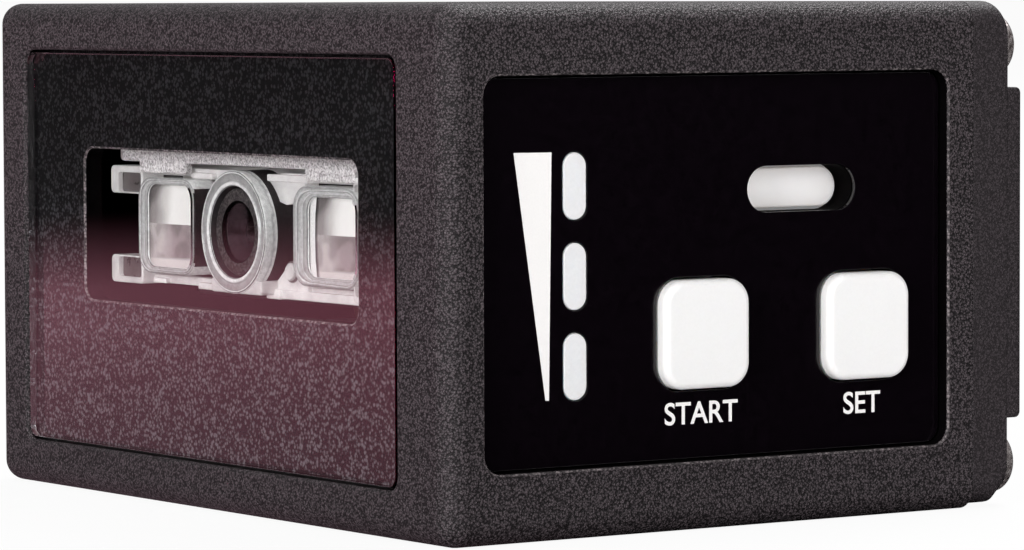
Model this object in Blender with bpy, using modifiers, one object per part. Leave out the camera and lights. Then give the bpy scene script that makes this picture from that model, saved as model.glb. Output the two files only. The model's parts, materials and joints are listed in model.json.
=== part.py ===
# Fixed barcode reader: a moulded housing with a tinted window, a key panel on its side, a screwed rear
# cover, and the reading engine and circuit boards inside.
# Metres, +Z up. The window faces -Y and the key panel faces +X. The origin is the centre of the base.

import math

import bmesh
import bpy
from mathutils import Vector

mm = 0.001

# Casing
body_width = 51.0 * mm
body_depth = 40.0 * mm
body_height = 30.0 * mm
edge_radius = 1.3 * mm
side_wall = 1.8 * mm
floor_wall = 1.6 * mm
ceiling_wall = 1.6 * mm
cavity_corner = 0.8 * mm

# Clearances
fit_gap = 0.3 * mm
trim_gap = 0.15 * mm
cut_over = 1.0 * mm

# Window and the slot behind it
window_left_margin = 3.7 * mm
window_right_margin = 5.2 * mm
window_edge_margin = 2.85 * mm
window_recess_depth = 1.6 * mm
window_corner = 0.9 * mm
window_setback = 0.1 * mm
window_ledge = 1.2 * mm
view_slot_side = 0.45 * mm
view_slot_edge = 1.1 * mm

# Key panel
panel_recess = 1.1 * mm
panel_wall = 1.8 * mm
panel_front = 2.5 * mm
panel_back_margin = 1.9 * mm
panel_bottom = 4.0 * mm
panel_top_margin = 4.0 * mm
panel_corner = 1.1 * mm
label_thickness = 0.25 * mm
label_bed = 0.1 * mm

# Keys, each with the switch that it presses; shares are of the panel's length and height
key_length_share = 0.184
key_height_share = 0.282
key_level_share = 0.327
left_key_share = 0.468
right_key_share = 0.824
key_corner = 1.4 * mm
key_proud = 0.75 * mm
key_flange_rim = 0.65 * mm
key_flange_thickness = 1.1 * mm
key_edge = 0.35 * mm
key_travel = 0.5 * mm
switch_size = 4.5 * mm
switch_height = 1.8 * mm
stem_radius = 1.0 * mm

# Status slot and level lights, with shares of the same panel; a pill's height is a share of the pitch
status_share = 0.687
status_level_share = 0.695
status_length_share = 0.2386
status_height_share = 0.1205
status_sink = 1.65 * mm
pill_share = 0.2006
pill_level_share = 0.4885
pill_pitch_share = 0.2295
pill_height_share = 0.747
pill_width = 1.58 * mm
guide_rim = 0.7 * mm
guide_depth = 3.0 * mm
led_height = 0.7 * mm
led_size = 1.6 * mm

# Rear cover
cover_thickness = 2.7 * mm
cover_lift = 0.25 * mm
cover_top_radius = 1.1 * mm
cover_chamfer = 0.9 * mm
bar_bottom = 5.3 * mm
bar_top_margin = 5.1 * mm
bar_proud = 1.05 * mm
bar_edge = 0.3 * mm
lip_depth = 1.6 * mm
lip_thickness = 1.2 * mm
pillar_inset = 1.0 * mm
pillar_reach = 5.2 * mm
pillar_length = 8.3 * mm
rear_screw_side = 2.3 * mm
rear_screw_end = 2.6 * mm
rear_screw_radius = 1.0 * mm
rear_screw_head = 1.9 * mm
rear_screw_head_height = 0.9 * mm
rear_screw_length = 8.0 * mm
rear_screw_hole = 6.4 * mm

# Cable inlet in the rear cover
inlet_share = 0.265
inlet_bore = 2.95 * mm
inlet_neck = 3.8 * mm
inlet_flange = 4.8 * mm
inlet_flange_thickness = 0.9 * mm

# Reading engine
engine_x = -0.3 * mm
engine_rise = 1.5 * mm
engine_side_gap = 2.3 * mm
engine_length = 10.1 * mm
frame_front = 3.5 * mm
frame_plate = 1.6 * mm
frame_cheek = 1.0 * mm
frame_corner = 1.0 * mm
frame_lip_drop = 0.65 * mm
frame_lip_depth = 0.7 * mm
frame_lip_inset = 1.2 * mm
frame_bar_depth = 2.4 * mm
frame_bar_height = 1.1 * mm

# Clear illumination moulding on the front of the engine
collar_front = 2.8 * mm
collar_radius = 3.65 * mm
collar_bore = 2.73 * mm
lens_block_front = 3.4 * mm
lens_block_clearance = 0.2 * mm
lens_block_gap = 0.1 * mm
lens_block_height = 5.85 * mm
lens_block_edge = 0.55 * mm
cover_plate_front = 4.4 * mm
cover_plate_thickness = 0.8 * mm
cover_plate_height = 7.1 * mm
cover_plate_overlap = 0.35 * mm
cover_gap_height = 6.1 * mm
ear_front = 3.6 * mm
ear_inset = 2.75 * mm
ear_length = 3.3 * mm
ear_height = 1.75 * mm
ear_pocket = 0.9 * mm
ear_wall = 0.55 * mm

# Camera
holder_share = 0.36
holder_height = 5.4 * mm
barrel_radius = 2.45 * mm
barrel_length = 5.3 * mm
barrel_front = 3.7 * mm
barrel_bore = 1.6 * mm
barrel_rim = 0.15 * mm
lens_sink = 0.9 * mm
lens_thickness = 1.0 * mm
lens_crown = 0.32 * mm
sensor_width = 3.8 * mm
sensor_height = 2.8 * mm
sensor_thickness = 0.8 * mm
light_board_setback = 2.4 * mm
light_led_share = 0.49
engine_board_thickness = 0.8 * mm
engine_board_height = 7.5 * mm
sensor_board_setback = 6.8 * mm

# Circuit boards
board_thickness = 1.0 * mm
main_board_side_gap = 1.2 * mm
main_board_inner_gap = 0.5 * mm
main_board_back_gap = 2.8 * mm
main_board_front = 4.5 * mm
main_board_level = 6.2 * mm
board_screw_inset = 2.2 * mm
control_board_front_gap = 4.5 * mm
control_board_back_gap = 1.4 * mm
control_board_bottom_gap = 1.6 * mm
control_board_top_gap = 2.0 * mm
control_board_gap = 4.6 * mm
standoff_radius = 1.75 * mm

# Components on the main board: places and sizes are shares of its width and length
engine_socket_share = 0.45
processor_place = (0.526, 0.69)
processor_shares = (0.205, 0.267)
memory_place = (0.744, 0.69)
memory_shares = (0.154, 0.267)
inductor_place = (0.128, 0.587)
inductor_shares = (0.113, 0.147)
capacitor_place = (0.128, 0.787)
capacitor_share = 0.0633
cable_connector_place = (0.577, 0.9)
cable_connector_shares = (0.256, 0.133)
buzzer_place = (0.295, 0.853)
buzzer_share = 0.12
processor_height = 1.1 * mm
memory_height = 0.9 * mm
inductor_height = 2.2 * mm
capacitor_height = 4.2 * mm
cable_connector_height = 3.4 * mm
buzzer_height = 3.0 * mm
buzzer_port = 0.6 * mm
header_length = 8.0 * mm
header_height = 2.2 * mm
header_reach = 2.6 * mm

# Cable between the engine and the main board
connector_half = 4.6 * mm
connector_depth = 1.4 * mm
connector_height = 1.7 * mm
socket_depth = 2.4 * mm
socket_height = 1.6 * mm
flex_width = 7.6 * mm
flex_thickness = 0.2 * mm

# Small screws on the boards and the engine
small_screw_radius = 0.6 * mm
small_screw_head = 1.3 * mm
small_screw_head_height = 0.8 * mm
small_screw_length = 4.0 * mm

# Threaded inserts in the base
insert_side = 11.5 * mm
insert_radius = 2.0 * mm
insert_bore = 1.25 * mm
insert_length = 3.6 * mm
insert_setback = 0.2 * mm
insert_boss_wall = 1.2 * mm

# Facets
round_steps = 20
small_steps = 14
corner_steps = 3
flex_steps = 8


# Places that follow from the sizes above
half_width = body_width / 2
seam_depth = body_depth - cover_thickness
bar_top = body_height - bar_top_margin
panel_floor_x = half_width - panel_recess
panel_inner_x = panel_floor_x - panel_wall
label_front_x = panel_floor_x + label_bed + label_thickness
panel_length = seam_depth - panel_front - panel_back_margin
panel_height = body_height - panel_bottom - panel_top_margin
key_length = key_length_share * panel_length
key_height = key_height_share * panel_height
key_level = panel_bottom + key_level_share * panel_height
key_positions = {
    "left": panel_front + left_key_share * panel_length,
    "right": panel_front + right_key_share * panel_length,
}
status_position = panel_front + status_share * panel_length
status_level = panel_bottom + status_level_share * panel_height
status_length = status_length_share * panel_length
status_height = status_height_share * panel_height
pill_position = panel_front + pill_share * panel_length
pill_level = panel_bottom + pill_level_share * panel_height
pill_pitch = pill_pitch_share * panel_height
pill_height = pill_height_share * pill_pitch
control_board_x = panel_inner_x - control_board_gap
control_board_back_x = control_board_x - board_thickness
control_board_front = panel_front + control_board_front_gap
control_board_back = panel_front + panel_length - control_board_back_gap
control_board_bottom = panel_bottom + control_board_bottom_gap
control_board_top = panel_bottom + panel_height - control_board_top_gap
front_wall = window_recess_depth + window_ledge
window_recess_width = body_width - window_left_margin - window_right_margin
window_recess_height = body_height - 2 * window_edge_margin
window_offset = (window_left_margin - window_right_margin) / 2
window_level = body_height / 2
engine_level = window_level + engine_rise
engine_width = 2 * (control_board_back_x - engine_side_gap - engine_x)
view_slot_width = engine_width + 2 * view_slot_side
view_slot_height = cover_plate_height + 2 * view_slot_edge
holder_width = holder_share * engine_width
lens_block_inner = holder_width / 2 + lens_block_clearance
ear_inner = engine_width / 2 - ear_inset
lens_block_width = ear_inner - lens_block_gap - lens_block_inner
cover_plate_width = 2 * (ear_inner + cover_plate_overlap)
frame_plate_bottom = engine_level + cover_plate_height / 2 + fit_gap
cover_plate_back = cover_plate_front + cover_plate_thickness
light_board_front = cover_plate_back + light_board_setback
sensor_board_front = cover_plate_back + sensor_board_setback
engine_inner_width = engine_width - 2 * frame_cheek - 2 * fit_gap
main_board_top = main_board_level + board_thickness
main_board_left = -half_width + side_wall + main_board_side_gap
main_board_right = control_board_back_x - main_board_inner_gap
main_board_width = main_board_right - main_board_left
main_board_length = seam_depth - main_board_front - main_board_back_gap
inlet_position = -half_width + inlet_share * body_width
inlet_level = (bar_bottom + bar_top) / 2


def from_front(distance):
    """Y of a point that lies this far behind the front face."""
    return distance - body_depth / 2


def start_scene():
    """Clears the scene and makes one collection for the parts and one for the cutters."""
    for old in list(bpy.data.objects):
        bpy.data.objects.remove(old, do_unlink=True)
    made = []
    for name in ("barcode_reader", "cutters"):
        collection = bpy.data.collections.new(name)
        bpy.context.scene.collection.children.link(collection)
        made.append(collection)
    return made


parts, cutters = start_scene()


def material(name, colour, roughness, metallic=0.0, clear=0.0):
    """A plain Principled material; clear is its transmission."""
    made = bpy.data.materials.new(name)
    made.use_nodes = True
    shader = made.node_tree.nodes["Principled BSDF"]
    shader.inputs["Base Color"].default_value = (*colour, 1.0)
    shader.inputs["Roughness"].default_value = roughness
    shader.inputs["Metallic"].default_value = metallic
    shader.inputs["Transmission Weight"].default_value = clear
    made.diffuse_color = (*colour, 1.0)
    return made


housing_plastic = material("housing_plastic", (0.045, 0.042, 0.045), 0.55)
cover_plastic = material("cover_plastic", (0.040, 0.038, 0.041), 0.55)
window_tint = material("window_tint", (0.25, 0.12, 0.16), 0.05, clear=0.9)
label_black = material("label_black", (0.004, 0.003, 0.004), 0.15)
key_white = material("key_white", (0.82, 0.82, 0.80), 0.45)
pipe_white = material("pipe_white", (0.75, 0.75, 0.74), 0.5)
screw_steel = material("screw_steel", (0.62, 0.62, 0.63), 0.25, metallic=1.0)
bush_rubber = material("bush_rubber", (0.02, 0.02, 0.02), 0.8)
cast_metal = material("cast_metal", (0.45, 0.44, 0.43), 0.5, metallic=1.0)
clear_moulding = material("clear_moulding", (0.9, 0.9, 0.9), 0.08, clear=0.95)
black_plastic = material("black_plastic", (0.012, 0.012, 0.013), 0.6)
lens_glass = material("lens_glass", (0.06, 0.05, 0.09), 0.03, clear=0.5)
board_green = material("board_green", (0.02, 0.14, 0.07), 0.45)
chip_black = material("chip_black", (0.02, 0.02, 0.022), 0.5)
connector_cream = material("connector_cream", (0.75, 0.71, 0.6), 0.5)
led_yellow = material("led_yellow", (0.85, 0.78, 0.4), 0.35)
flex_amber = material("flex_amber", (0.55, 0.28, 0.06), 0.4)
insert_brass = material("insert_brass", (0.72, 0.52, 0.2), 0.3, metallic=1.0)
coil_grey = material("coil_grey", (0.16, 0.16, 0.17), 0.5)


def place(name, mesh, finish, location=(0, 0, 0), turn=None):
    """Links a mesh as one part, or as a cutter where it has no finish."""
    made = bpy.data.objects.new(name, mesh)
    made.location = location
    if turn is not None:
        made.rotation_mode = "QUATERNION"
        made.rotation_quaternion = turn
    if finish is None:
        cutters.objects.link(made)
        made.hide_render = True
        made.display_type = "WIRE"
    else:
        parts.objects.link(made)
        mesh.materials.append(finish)
    return made


def runs_along(edge, axis):
    along = edge.verts[0].co - edge.verts[1].co
    return all(abs(along[other]) < 1e-9 for other in range(3) if other != axis)


def slab(name, finish, low, high, axis=2, corner=0.0, steps=corner_steps):
    """A box from its low to its high corner, with the four edges along one axis rounded."""
    low = Vector(low)
    high = Vector(high)
    size = high - low
    bm = bmesh.new()
    bmesh.ops.create_cube(bm, size=1.0)
    bmesh.ops.scale(bm, vec=size, verts=bm.verts)
    if corner > 0:
        room = min(size[other] for other in range(3) if other != axis)
        edges = [edge for edge in bm.edges if runs_along(edge, axis)]
        radius = min(corner, 0.49 * room)
        bmesh.ops.bevel(
            bm, geom=edges, offset=radius, segments=steps, profile=0.5, affect="EDGES"
        )
    mesh = bpy.data.meshes.new(name)
    bm.to_mesh(mesh)
    bm.free()
    return place(name, mesh, finish, (low + high) / 2)


def rod(name, finish, start, end, radius, steps=round_steps):
    """A plain cylinder between two points."""
    start = Vector(start)
    end = Vector(end)
    bm = bmesh.new()
    bmesh.ops.create_cone(
        bm,
        cap_ends=True,
        segments=steps,
        radius1=radius,
        radius2=radius,
        depth=(end - start).length,
    )
    mesh = bpy.data.meshes.new(name)
    bm.to_mesh(mesh)
    bm.free()
    turn = Vector((0, 0, 1)).rotation_difference(end - start)
    return place(name, mesh, finish, (start + end) / 2, turn)


def turned(name, finish, profile, foot, axis, closed=False, steps=round_steps):
    """A turned piece: its profile is (radius, height) pairs from the top, down the outer side."""
    mesh = bpy.data.meshes.new(name)
    points = [(radius, 0, height) for radius, height in profile]
    edges = [(index, index + 1) for index in range(len(points) - 1)]
    if closed:
        edges.append((len(points) - 1, 0))
    mesh.from_pydata(points, edges, [])
    turn = Vector((0, 0, 1)).rotation_difference(Vector(axis))
    made = place(name, mesh, finish, foot, turn)
    screw = made.modifiers.new("turn", "SCREW")
    screw.steps = steps
    screw.render_steps = steps
    screw.use_merge_vertices = True
    screw.merge_threshold = 1e-6
    return made


def combine(target, other, operation):
    boolean = target.modifiers.new(f"{operation.lower()}_{other.name}", "BOOLEAN")
    boolean.operation = operation
    boolean.object = other


def cut(target, *tools):
    for tool in tools:
        combine(target, tool, "DIFFERENCE")


def join(target, *pieces):
    for piece in pieces:
        combine(target, piece, "UNION")


def round_all(target, width, steps=2):
    """A rounded or, in one step, chamfered finish on every sharp edge."""
    bevel = target.modifiers.new("edge", "BEVEL")
    bevel.width = width
    bevel.segments = steps
    bevel.limit_method = "ANGLE"
    bevel.angle_limit = math.radians(40)


def pan_screw(name, seat, axis, radius, length, head_radius, head_height, steps):
    """A pan-head screw whose head sits on the seat point and whose shank runs against the axis."""
    rim = 0.3 * head_height
    profile = [
        (0, head_height),
        (head_radius - 2 * rim, head_height),
        (head_radius - 0.4 * rim, head_height - 0.5 * rim),
        (head_radius, head_height - 1.6 * rim),
        (head_radius, 0),
        (radius, 0),
        (radius, radius - length),
        (0.6 * radius, -length),
        (0, -length),
    ]
    return turned(name, screw_steel, profile, seat, axis, steps=steps)


def hole(name, start, end, radius, steps=round_steps):
    return rod(name, None, start, end, radius, steps)


def panel_cutter(name, position, level, length, height, corner, inner_x, outer_x):
    """A rounded opening through the panel wall, centred on a place of the panel."""
    middle = from_front(position)
    return slab(
        name,
        None,
        (inner_x, middle - length / 2, level - height / 2),
        (outer_x, middle + length / 2, level + height / 2),
        axis=0,
        corner=corner,
    )


def pill_levels():
    return [pill_level + step * pill_pitch for step in (1, 0, -1)]


def cut_panel_openings(target, label, inner_x, outer_x):
    """Cuts the key, status and level openings; the wall and the label share their places."""
    for side, position in key_positions.items():
        tool = panel_cutter(
            f"{label}_{side}_key_opening",
            position,
            key_level,
            key_length + 2 * trim_gap,
            key_height + 2 * trim_gap,
            key_corner + trim_gap,
            inner_x,
            outer_x,
        )
        cut(target, tool)
    tool = panel_cutter(
        f"{label}_status_opening",
        status_position,
        status_level,
        status_length,
        status_height,
        status_height / 2,
        inner_x,
        outer_x,
    )
    cut(target, tool)
    for index, level in enumerate(pill_levels(), 1):
        tool = panel_cutter(
            f"{label}_level_opening_{index}",
            pill_position,
            level,
            pill_width + 2 * trim_gap,
            pill_height + 2 * trim_gap,
            pill_width / 2 + trim_gap,
            inner_x,
            outer_x,
        )
        cut(target, tool)


def rear_screw_places():
    """X and Z of the four cover screws."""
    x = half_width - rear_screw_side
    top = body_height - rear_screw_end
    return [(-x, rear_screw_end), (x, rear_screw_end), (-x, top), (x, top)]


def main_screw_places():
    """X and Y of the four main board screws."""
    left = main_board_left + board_screw_inset
    right = main_board_right - board_screw_inset
    front = from_front(main_board_front + board_screw_inset)
    back = from_front(main_board_front + main_board_length - board_screw_inset)
    return [(x, y) for y in (front, back) for x in (left, right)]


def control_screw_places():
    """Y and Z of the control board screws: two above the keys and one between them."""
    upper = status_level + trim_gap
    left = (pill_position + status_position - status_length / 2) / 2
    right = key_positions["right"] + key_length / 2
    between = sum(key_positions.values()) / 2
    return [
        (from_front(left), upper),
        (from_front(right), upper),
        (from_front(between), key_level),
    ]


def engine_screw_places():
    """X and Y of the two screws that hang the engine from the ceiling."""
    x = (holder_width / 2 + engine_width / 2 - frame_cheek) / 2
    y = from_front(frame_front + 0.68 * engine_length)
    return [(engine_x - x, y), (engine_x + x, y)]


def insert_places():
    x = half_width - insert_side
    return [(-x, 0.0), (x, 0.0)]


def outer_shell():
    """The housing's outer block: every edge is rounded but those at the seam."""
    bm = bmesh.new()
    bmesh.ops.create_cube(bm, size=1.0)
    bmesh.ops.scale(bm, vec=(body_width, seam_depth, body_height), verts=bm.verts)
    bmesh.ops.translate(
        bm, vec=(0, from_front(seam_depth / 2), body_height / 2), verts=bm.verts
    )
    seam_y = from_front(seam_depth)
    kept = [
        edge
        for edge in bm.edges
        if not all(abs(v.co.y - seam_y) < 1e-6 for v in edge.verts)
    ]
    bmesh.ops.bevel(
        bm, geom=kept, offset=edge_radius, segments=4, profile=0.5, affect="EDGES"
    )
    mesh = bpy.data.meshes.new("housing")
    bm.to_mesh(mesh)
    bm.free()
    return place("housing", mesh, housing_plastic)


def screw_pillar(index, x, z):
    """A corner pillar that takes a cover screw."""
    side = math.copysign(1, x)
    level = -1 if z < body_height / 2 else 1
    edge_z = 0 if level < 0 else body_height
    xs = sorted(side * (half_width - reach) for reach in (pillar_inset, pillar_reach))
    zs = sorted(edge_z - level * reach for reach in (pillar_inset, pillar_reach))
    return slab(
        f"cover_pillar_{index}",
        None,
        (xs[0], from_front(seam_depth - pillar_length), zs[0]),
        (xs[1], from_front(seam_depth), zs[1]),
        axis=1,
        corner=cavity_corner,
    )


def make_housing():
    housing = outer_shell()
    cavity = slab(
        "cavity",
        None,
        (-half_width + side_wall, from_front(front_wall), floor_wall),
        (panel_inner_x, from_front(seam_depth) + cut_over, body_height - ceiling_wall),
        axis=1,
        corner=cavity_corner,
    )
    cut(housing, cavity)
    add_bosses(housing)
    recess = slab(
        "window_recess",
        None,
        (
            window_offset - window_recess_width / 2,
            from_front(-cut_over),
            window_level - window_recess_height / 2,
        ),
        (
            window_offset + window_recess_width / 2,
            from_front(window_recess_depth),
            window_level + window_recess_height / 2,
        ),
        axis=1,
        corner=window_corner,
    )
    view_slot = slab(
        "view_slot",
        None,
        (
            engine_x - view_slot_width / 2,
            from_front(0),
            engine_level - view_slot_height / 2,
        ),
        (
            engine_x + view_slot_width / 2,
            from_front(front_wall) + cut_over,
            engine_level + view_slot_height / 2,
        ),
        axis=1,
        corner=window_corner,
    )
    panel = slab(
        "panel_recess",
        None,
        (panel_floor_x, from_front(panel_front), panel_bottom),
        (
            half_width + cut_over,
            from_front(panel_front + panel_length),
            panel_bottom + panel_height,
        ),
        axis=0,
        corner=panel_corner,
    )
    cut(housing, recess, view_slot, panel)
    cut_panel_openings(
        housing, "wall", panel_inner_x - cut_over, half_width + cut_over
    )
    return housing


def add_bosses(housing):
    """Joins the pillars, standoffs and bosses to the shell and drills them."""
    drill = small_screw_radius + trim_gap
    for index, (x, z) in enumerate(rear_screw_places(), 1):
        join(housing, screw_pillar(index, x, z))
        start = (x, from_front(seam_depth - rear_screw_hole), z)
        end = (x, from_front(seam_depth) + cut_over, z)
        cut(
            housing,
            hole(f"cover_drill_{index}", start, end, rear_screw_radius + trim_gap),
        )
    foot = floor_wall / 2
    standoff_top = main_board_level - fit_gap
    for index, (x, y) in enumerate(main_screw_places(), 1):
        post = rod(
            f"standoff_{index}",
            None,
            (x, y, foot),
            (x, y, standoff_top),
            standoff_radius,
        )
        drilled = hole(
            f"standoff_drill_{index}",
            (x, y, floor_wall),
            (x, y, standoff_top + cut_over),
            drill,
            small_steps,
        )
        join(housing, post)
        cut(housing, drilled)
    boss_radius = insert_radius + trim_gap + insert_boss_wall
    pocket_top = insert_setback + insert_length + fit_gap
    for index, (x, y) in enumerate(insert_places(), 1):
        boss = rod(
            f"insert_boss_{index}",
            None,
            (x, y, foot),
            (x, y, pocket_top + insert_boss_wall),
            boss_radius,
        )
        pocket = hole(
            f"insert_pocket_{index}",
            (x, y, -cut_over),
            (x, y, pocket_top),
            insert_radius + trim_gap,
        )
        join(housing, boss)
        cut(housing, pocket)
    ceiling = body_height - ceiling_wall / 2
    boss_bottom = frame_plate_bottom + frame_plate + fit_gap
    drill_top = frame_plate_bottom + small_screw_length
    for index, (x, y) in enumerate(engine_screw_places(), 1):
        boss = rod(
            f"engine_boss_{index}",
            None,
            (x, y, boss_bottom),
            (x, y, ceiling),
            standoff_radius,
        )
        drilled = hole(
            f"engine_drill_{index}",
            (x, y, boss_bottom - cut_over),
            (x, y, drill_top),
            drill,
            small_steps,
        )
        join(housing, boss)
        cut(housing, drilled)
    for index, (y, z) in enumerate(control_screw_places(), 1):
        inner = control_board_x + fit_gap
        boss = rod(
            f"control_boss_{index}",
            None,
            (inner, y, z),
            (panel_inner_x + panel_wall / 2, y, z),
            standoff_radius,
        )
        drilled = hole(
            f"control_drill_{index}",
            (inner - cut_over, y, z),
            (inner + small_screw_length, y, z),
            drill,
            small_steps,
        )
        join(housing, boss)
        cut(housing, drilled)


def make_window():
    """The tinted plate, a trim gap smaller all round than its recess."""
    return slab(
        "window",
        window_tint,
        (
            window_offset - window_recess_width / 2 + trim_gap,
            from_front(window_setback),
            window_level - window_recess_height / 2 + trim_gap,
        ),
        (
            window_offset + window_recess_width / 2 - trim_gap,
            from_front(window_recess_depth - trim_gap),
            window_level + window_recess_height / 2 - trim_gap,
        ),
        axis=1,
        corner=window_corner - trim_gap,
    )


def make_label():
    label = slab(
        "control_label",
        label_black,
        (
            label_front_x - label_thickness,
            from_front(panel_front + trim_gap),
            panel_bottom + trim_gap,
        ),
        (
            label_front_x,
            from_front(panel_front + panel_length - trim_gap),
            panel_bottom + panel_height - trim_gap,
        ),
        axis=0,
        corner=panel_corner - trim_gap,
    )
    cut_panel_openings(label, "label", panel_floor_x, half_width + cut_over)
    return label


def make_key(side, position):
    """A key with its retaining flange, the switch under it and the stem that it presses."""
    y = from_front(position)
    flange_x = panel_inner_x - fit_gap
    flange_back = flange_x - key_flange_thickness
    key = slab(
        f"{side}_button",
        key_white,
        (flange_back + fit_gap, y - key_length / 2, key_level - key_height / 2),
        (label_front_x + key_proud, y + key_length / 2, key_level + key_height / 2),
        axis=0,
        corner=key_corner,
    )
    round_all(key, key_edge)
    rim = key_flange_rim
    flange = slab(
        f"{side}_key_flange",
        None,
        (flange_back, y - key_length / 2 - rim, key_level - key_height / 2 - rim),
        (flange_x, y + key_length / 2 + rim, key_level + key_height / 2 + rim),
        axis=0,
        corner=key_corner,
    )
    join(key, flange)
    board_face = control_board_x + fit_gap
    switch = slab(
        f"{side}_switch",
        chip_black,
        (board_face, y - switch_size / 2, key_level - switch_size / 2),
        (board_face + switch_height, y + switch_size / 2, key_level + switch_size / 2),
        axis=0,
        corner=fit_gap,
        steps=1,
    )
    stem_foot = board_face + switch_height - 2 * fit_gap
    well_floor = stem_foot - key_travel - trim_gap
    well = hole(
        f"{side}_switch_well",
        (well_floor, y, key_level),
        (board_face + switch_height + cut_over, y, key_level),
        stem_radius + trim_gap,
    )
    cut(switch, well)
    rod(
        f"{side}_switch_stem",
        black_plastic,
        (stem_foot, y, key_level),
        (flange_back - fit_gap, y, key_level),
        stem_radius,
    )


def make_status_light():
    """The diffuser that lies sunk in the status slot, and the LED behind it."""
    y = from_front(status_position)
    face_x = label_front_x - status_sink
    flange_x = panel_inner_x - fit_gap
    back_x = flange_x - guide_depth
    half_length = status_length / 2 - trim_gap
    half_height = status_height / 2 - trim_gap
    pipe = slab(
        "status_light_pipe",
        pipe_white,
        (flange_x - guide_depth / 2, y - half_length, status_level - half_height),
        (face_x, y + half_length, status_level + half_height),
        axis=0,
        corner=half_height,
    )
    flange = slab(
        "status_pipe_flange",
        None,
        (
            back_x,
            y - half_length - guide_rim,
            status_level - half_height - guide_rim,
        ),
        (
            flange_x,
            y + half_length + guide_rim,
            status_level + half_height + guide_rim,
        ),
        axis=0,
        corner=half_height,
    )
    join(pipe, flange)
    led("status_led", y, status_level, 2 * led_size)


def led(name, y, z, length):
    """A small LED on the outer face of the control board."""
    board_face = control_board_x + fit_gap
    return slab(
        name,
        led_yellow,
        (board_face, y - length / 2, z - led_size / 2),
        (board_face + led_height, y + length / 2, z + led_size / 2),
        axis=0,
        corner=trim_gap,
        steps=1,
    )


def make_level_lights():
    """One clear guide with three pill-shaped ends, and an LED behind each end."""
    y = from_front(pill_position)
    flange_x = panel_inner_x - fit_gap
    half_width_y = pill_width / 2
    levels = pill_levels()
    guide = slab(
        "level_light_guide",
        pipe_white,
        (
            flange_x - guide_depth,
            y - half_width_y - guide_rim,
            min(levels) - pill_height / 2 - guide_rim,
        ),
        (
            flange_x,
            y + half_width_y + guide_rim,
            max(levels) + pill_height / 2 + guide_rim,
        ),
        axis=0,
        corner=guide_rim,
        steps=2,
    )
    for index, level in enumerate(levels, 1):
        prong = slab(
            f"level_prong_{index}",
            None,
            (flange_x - guide_depth / 2, y - half_width_y, level - pill_height / 2),
            (label_front_x, y + half_width_y, level + pill_height / 2),
            axis=0,
            corner=half_width_y,
        )
        join(guide, prong)
        led(f"level_led_{index}", y, level, led_size)


def make_control_board():
    board = slab(
        "control_board",
        board_green,
        (control_board_back_x, from_front(control_board_front), control_board_bottom),
        (control_board_x, from_front(control_board_back), control_board_top),
        axis=0,
        corner=frame_corner,
        steps=1,
    )
    for index, (y, z) in enumerate(control_screw_places(), 1):
        start = (control_board_back_x - cut_over, y, z)
        end = (control_board_x + cut_over, y, z)
        through = hole(
            f"control_hole_{index}", start, end, small_screw_radius + trim_gap, small_steps
        )
        cut(board, through)
        small_screw(
            f"control_screw_{index}",
            (control_board_back_x - fit_gap, y, z),
            (-1, 0, 0),
        )


def small_screw(name, seat, axis):
    return pan_screw(
        name,
        seat,
        axis,
        small_screw_radius,
        small_screw_length,
        small_screw_head,
        small_screw_head_height,
        small_steps,
    )


def make_rear_cover():
    """The cover plate with its raised bar, its locating lips and its screw and cable holes."""
    front_y = from_front(seam_depth + trim_gap)
    ledge_y = from_front(body_depth)
    bm = bmesh.new()
    bmesh.ops.create_cube(bm, size=1.0)
    size = Vector((body_width, ledge_y - front_y, body_height - cover_lift))
    bmesh.ops.scale(bm, vec=size, verts=bm.verts)
    middle = Vector((0, (front_y + ledge_y) / 2, (body_height + cover_lift) / 2))
    bmesh.ops.translate(bm, vec=middle, verts=bm.verts)
    long_edges = [edge for edge in bm.edges if runs_along(edge, 1)]
    bmesh.ops.bevel(
        bm,
        geom=long_edges,
        offset=edge_radius,
        segments=4,
        profile=0.5,
        affect="EDGES",
    )
    bevel_ledge_edge(bm, ledge_y, body_height, cover_top_radius, corner_steps)
    bevel_ledge_edge(bm, ledge_y, cover_lift, cover_chamfer, 1)
    mesh = bpy.data.meshes.new("rear_cover")
    bm.to_mesh(mesh)
    bm.free()
    cover = place("rear_cover", mesh, cover_plastic)
    bar = slab(
        "cover_bar",
        None,
        (-half_width, ledge_y - cover_thickness / 2, bar_bottom),
        (half_width, ledge_y + bar_proud, bar_top),
        axis=0,
        corner=bar_edge,
        steps=2,
    )
    join(cover, bar)
    add_lips(cover, front_y)
    for index, (x, z) in enumerate(rear_screw_places(), 1):
        start = (x, front_y - cut_over, z)
        end = (x, ledge_y + cut_over, z)
        cut(
            cover,
            hole(f"cover_hole_{index}", start, end, rear_screw_radius + trim_gap),
        )
        pan_screw(
            f"rear_screw_{index}",
            (x, ledge_y + trim_gap, z),
            (0, 1, 0),
            rear_screw_radius,
            rear_screw_length,
            rear_screw_head,
            rear_screw_head_height,
            round_steps,
        )
    cut(
        cover,
        hole(
            "inlet_hole",
            (inlet_position, front_y - cut_over, inlet_level),
            (inlet_position, ledge_y + bar_proud + cut_over, inlet_level),
            inlet_neck + trim_gap,
            round_steps + 4,
        ),
    )


def bevel_ledge_edge(bm, ledge_y, level, width, steps):
    """Rounds or chamfers the ledge edge that runs along X at one height."""
    edges = [
        edge
        for edge in bm.edges
        if all(
            abs(v.co.y - ledge_y) < 1e-6 and abs(v.co.z - level) < 1e-6
            for v in edge.verts
        )
    ]
    bmesh.ops.bevel(
        bm, geom=edges, offset=width, segments=steps, profile=0.5, affect="EDGES"
    )


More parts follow.
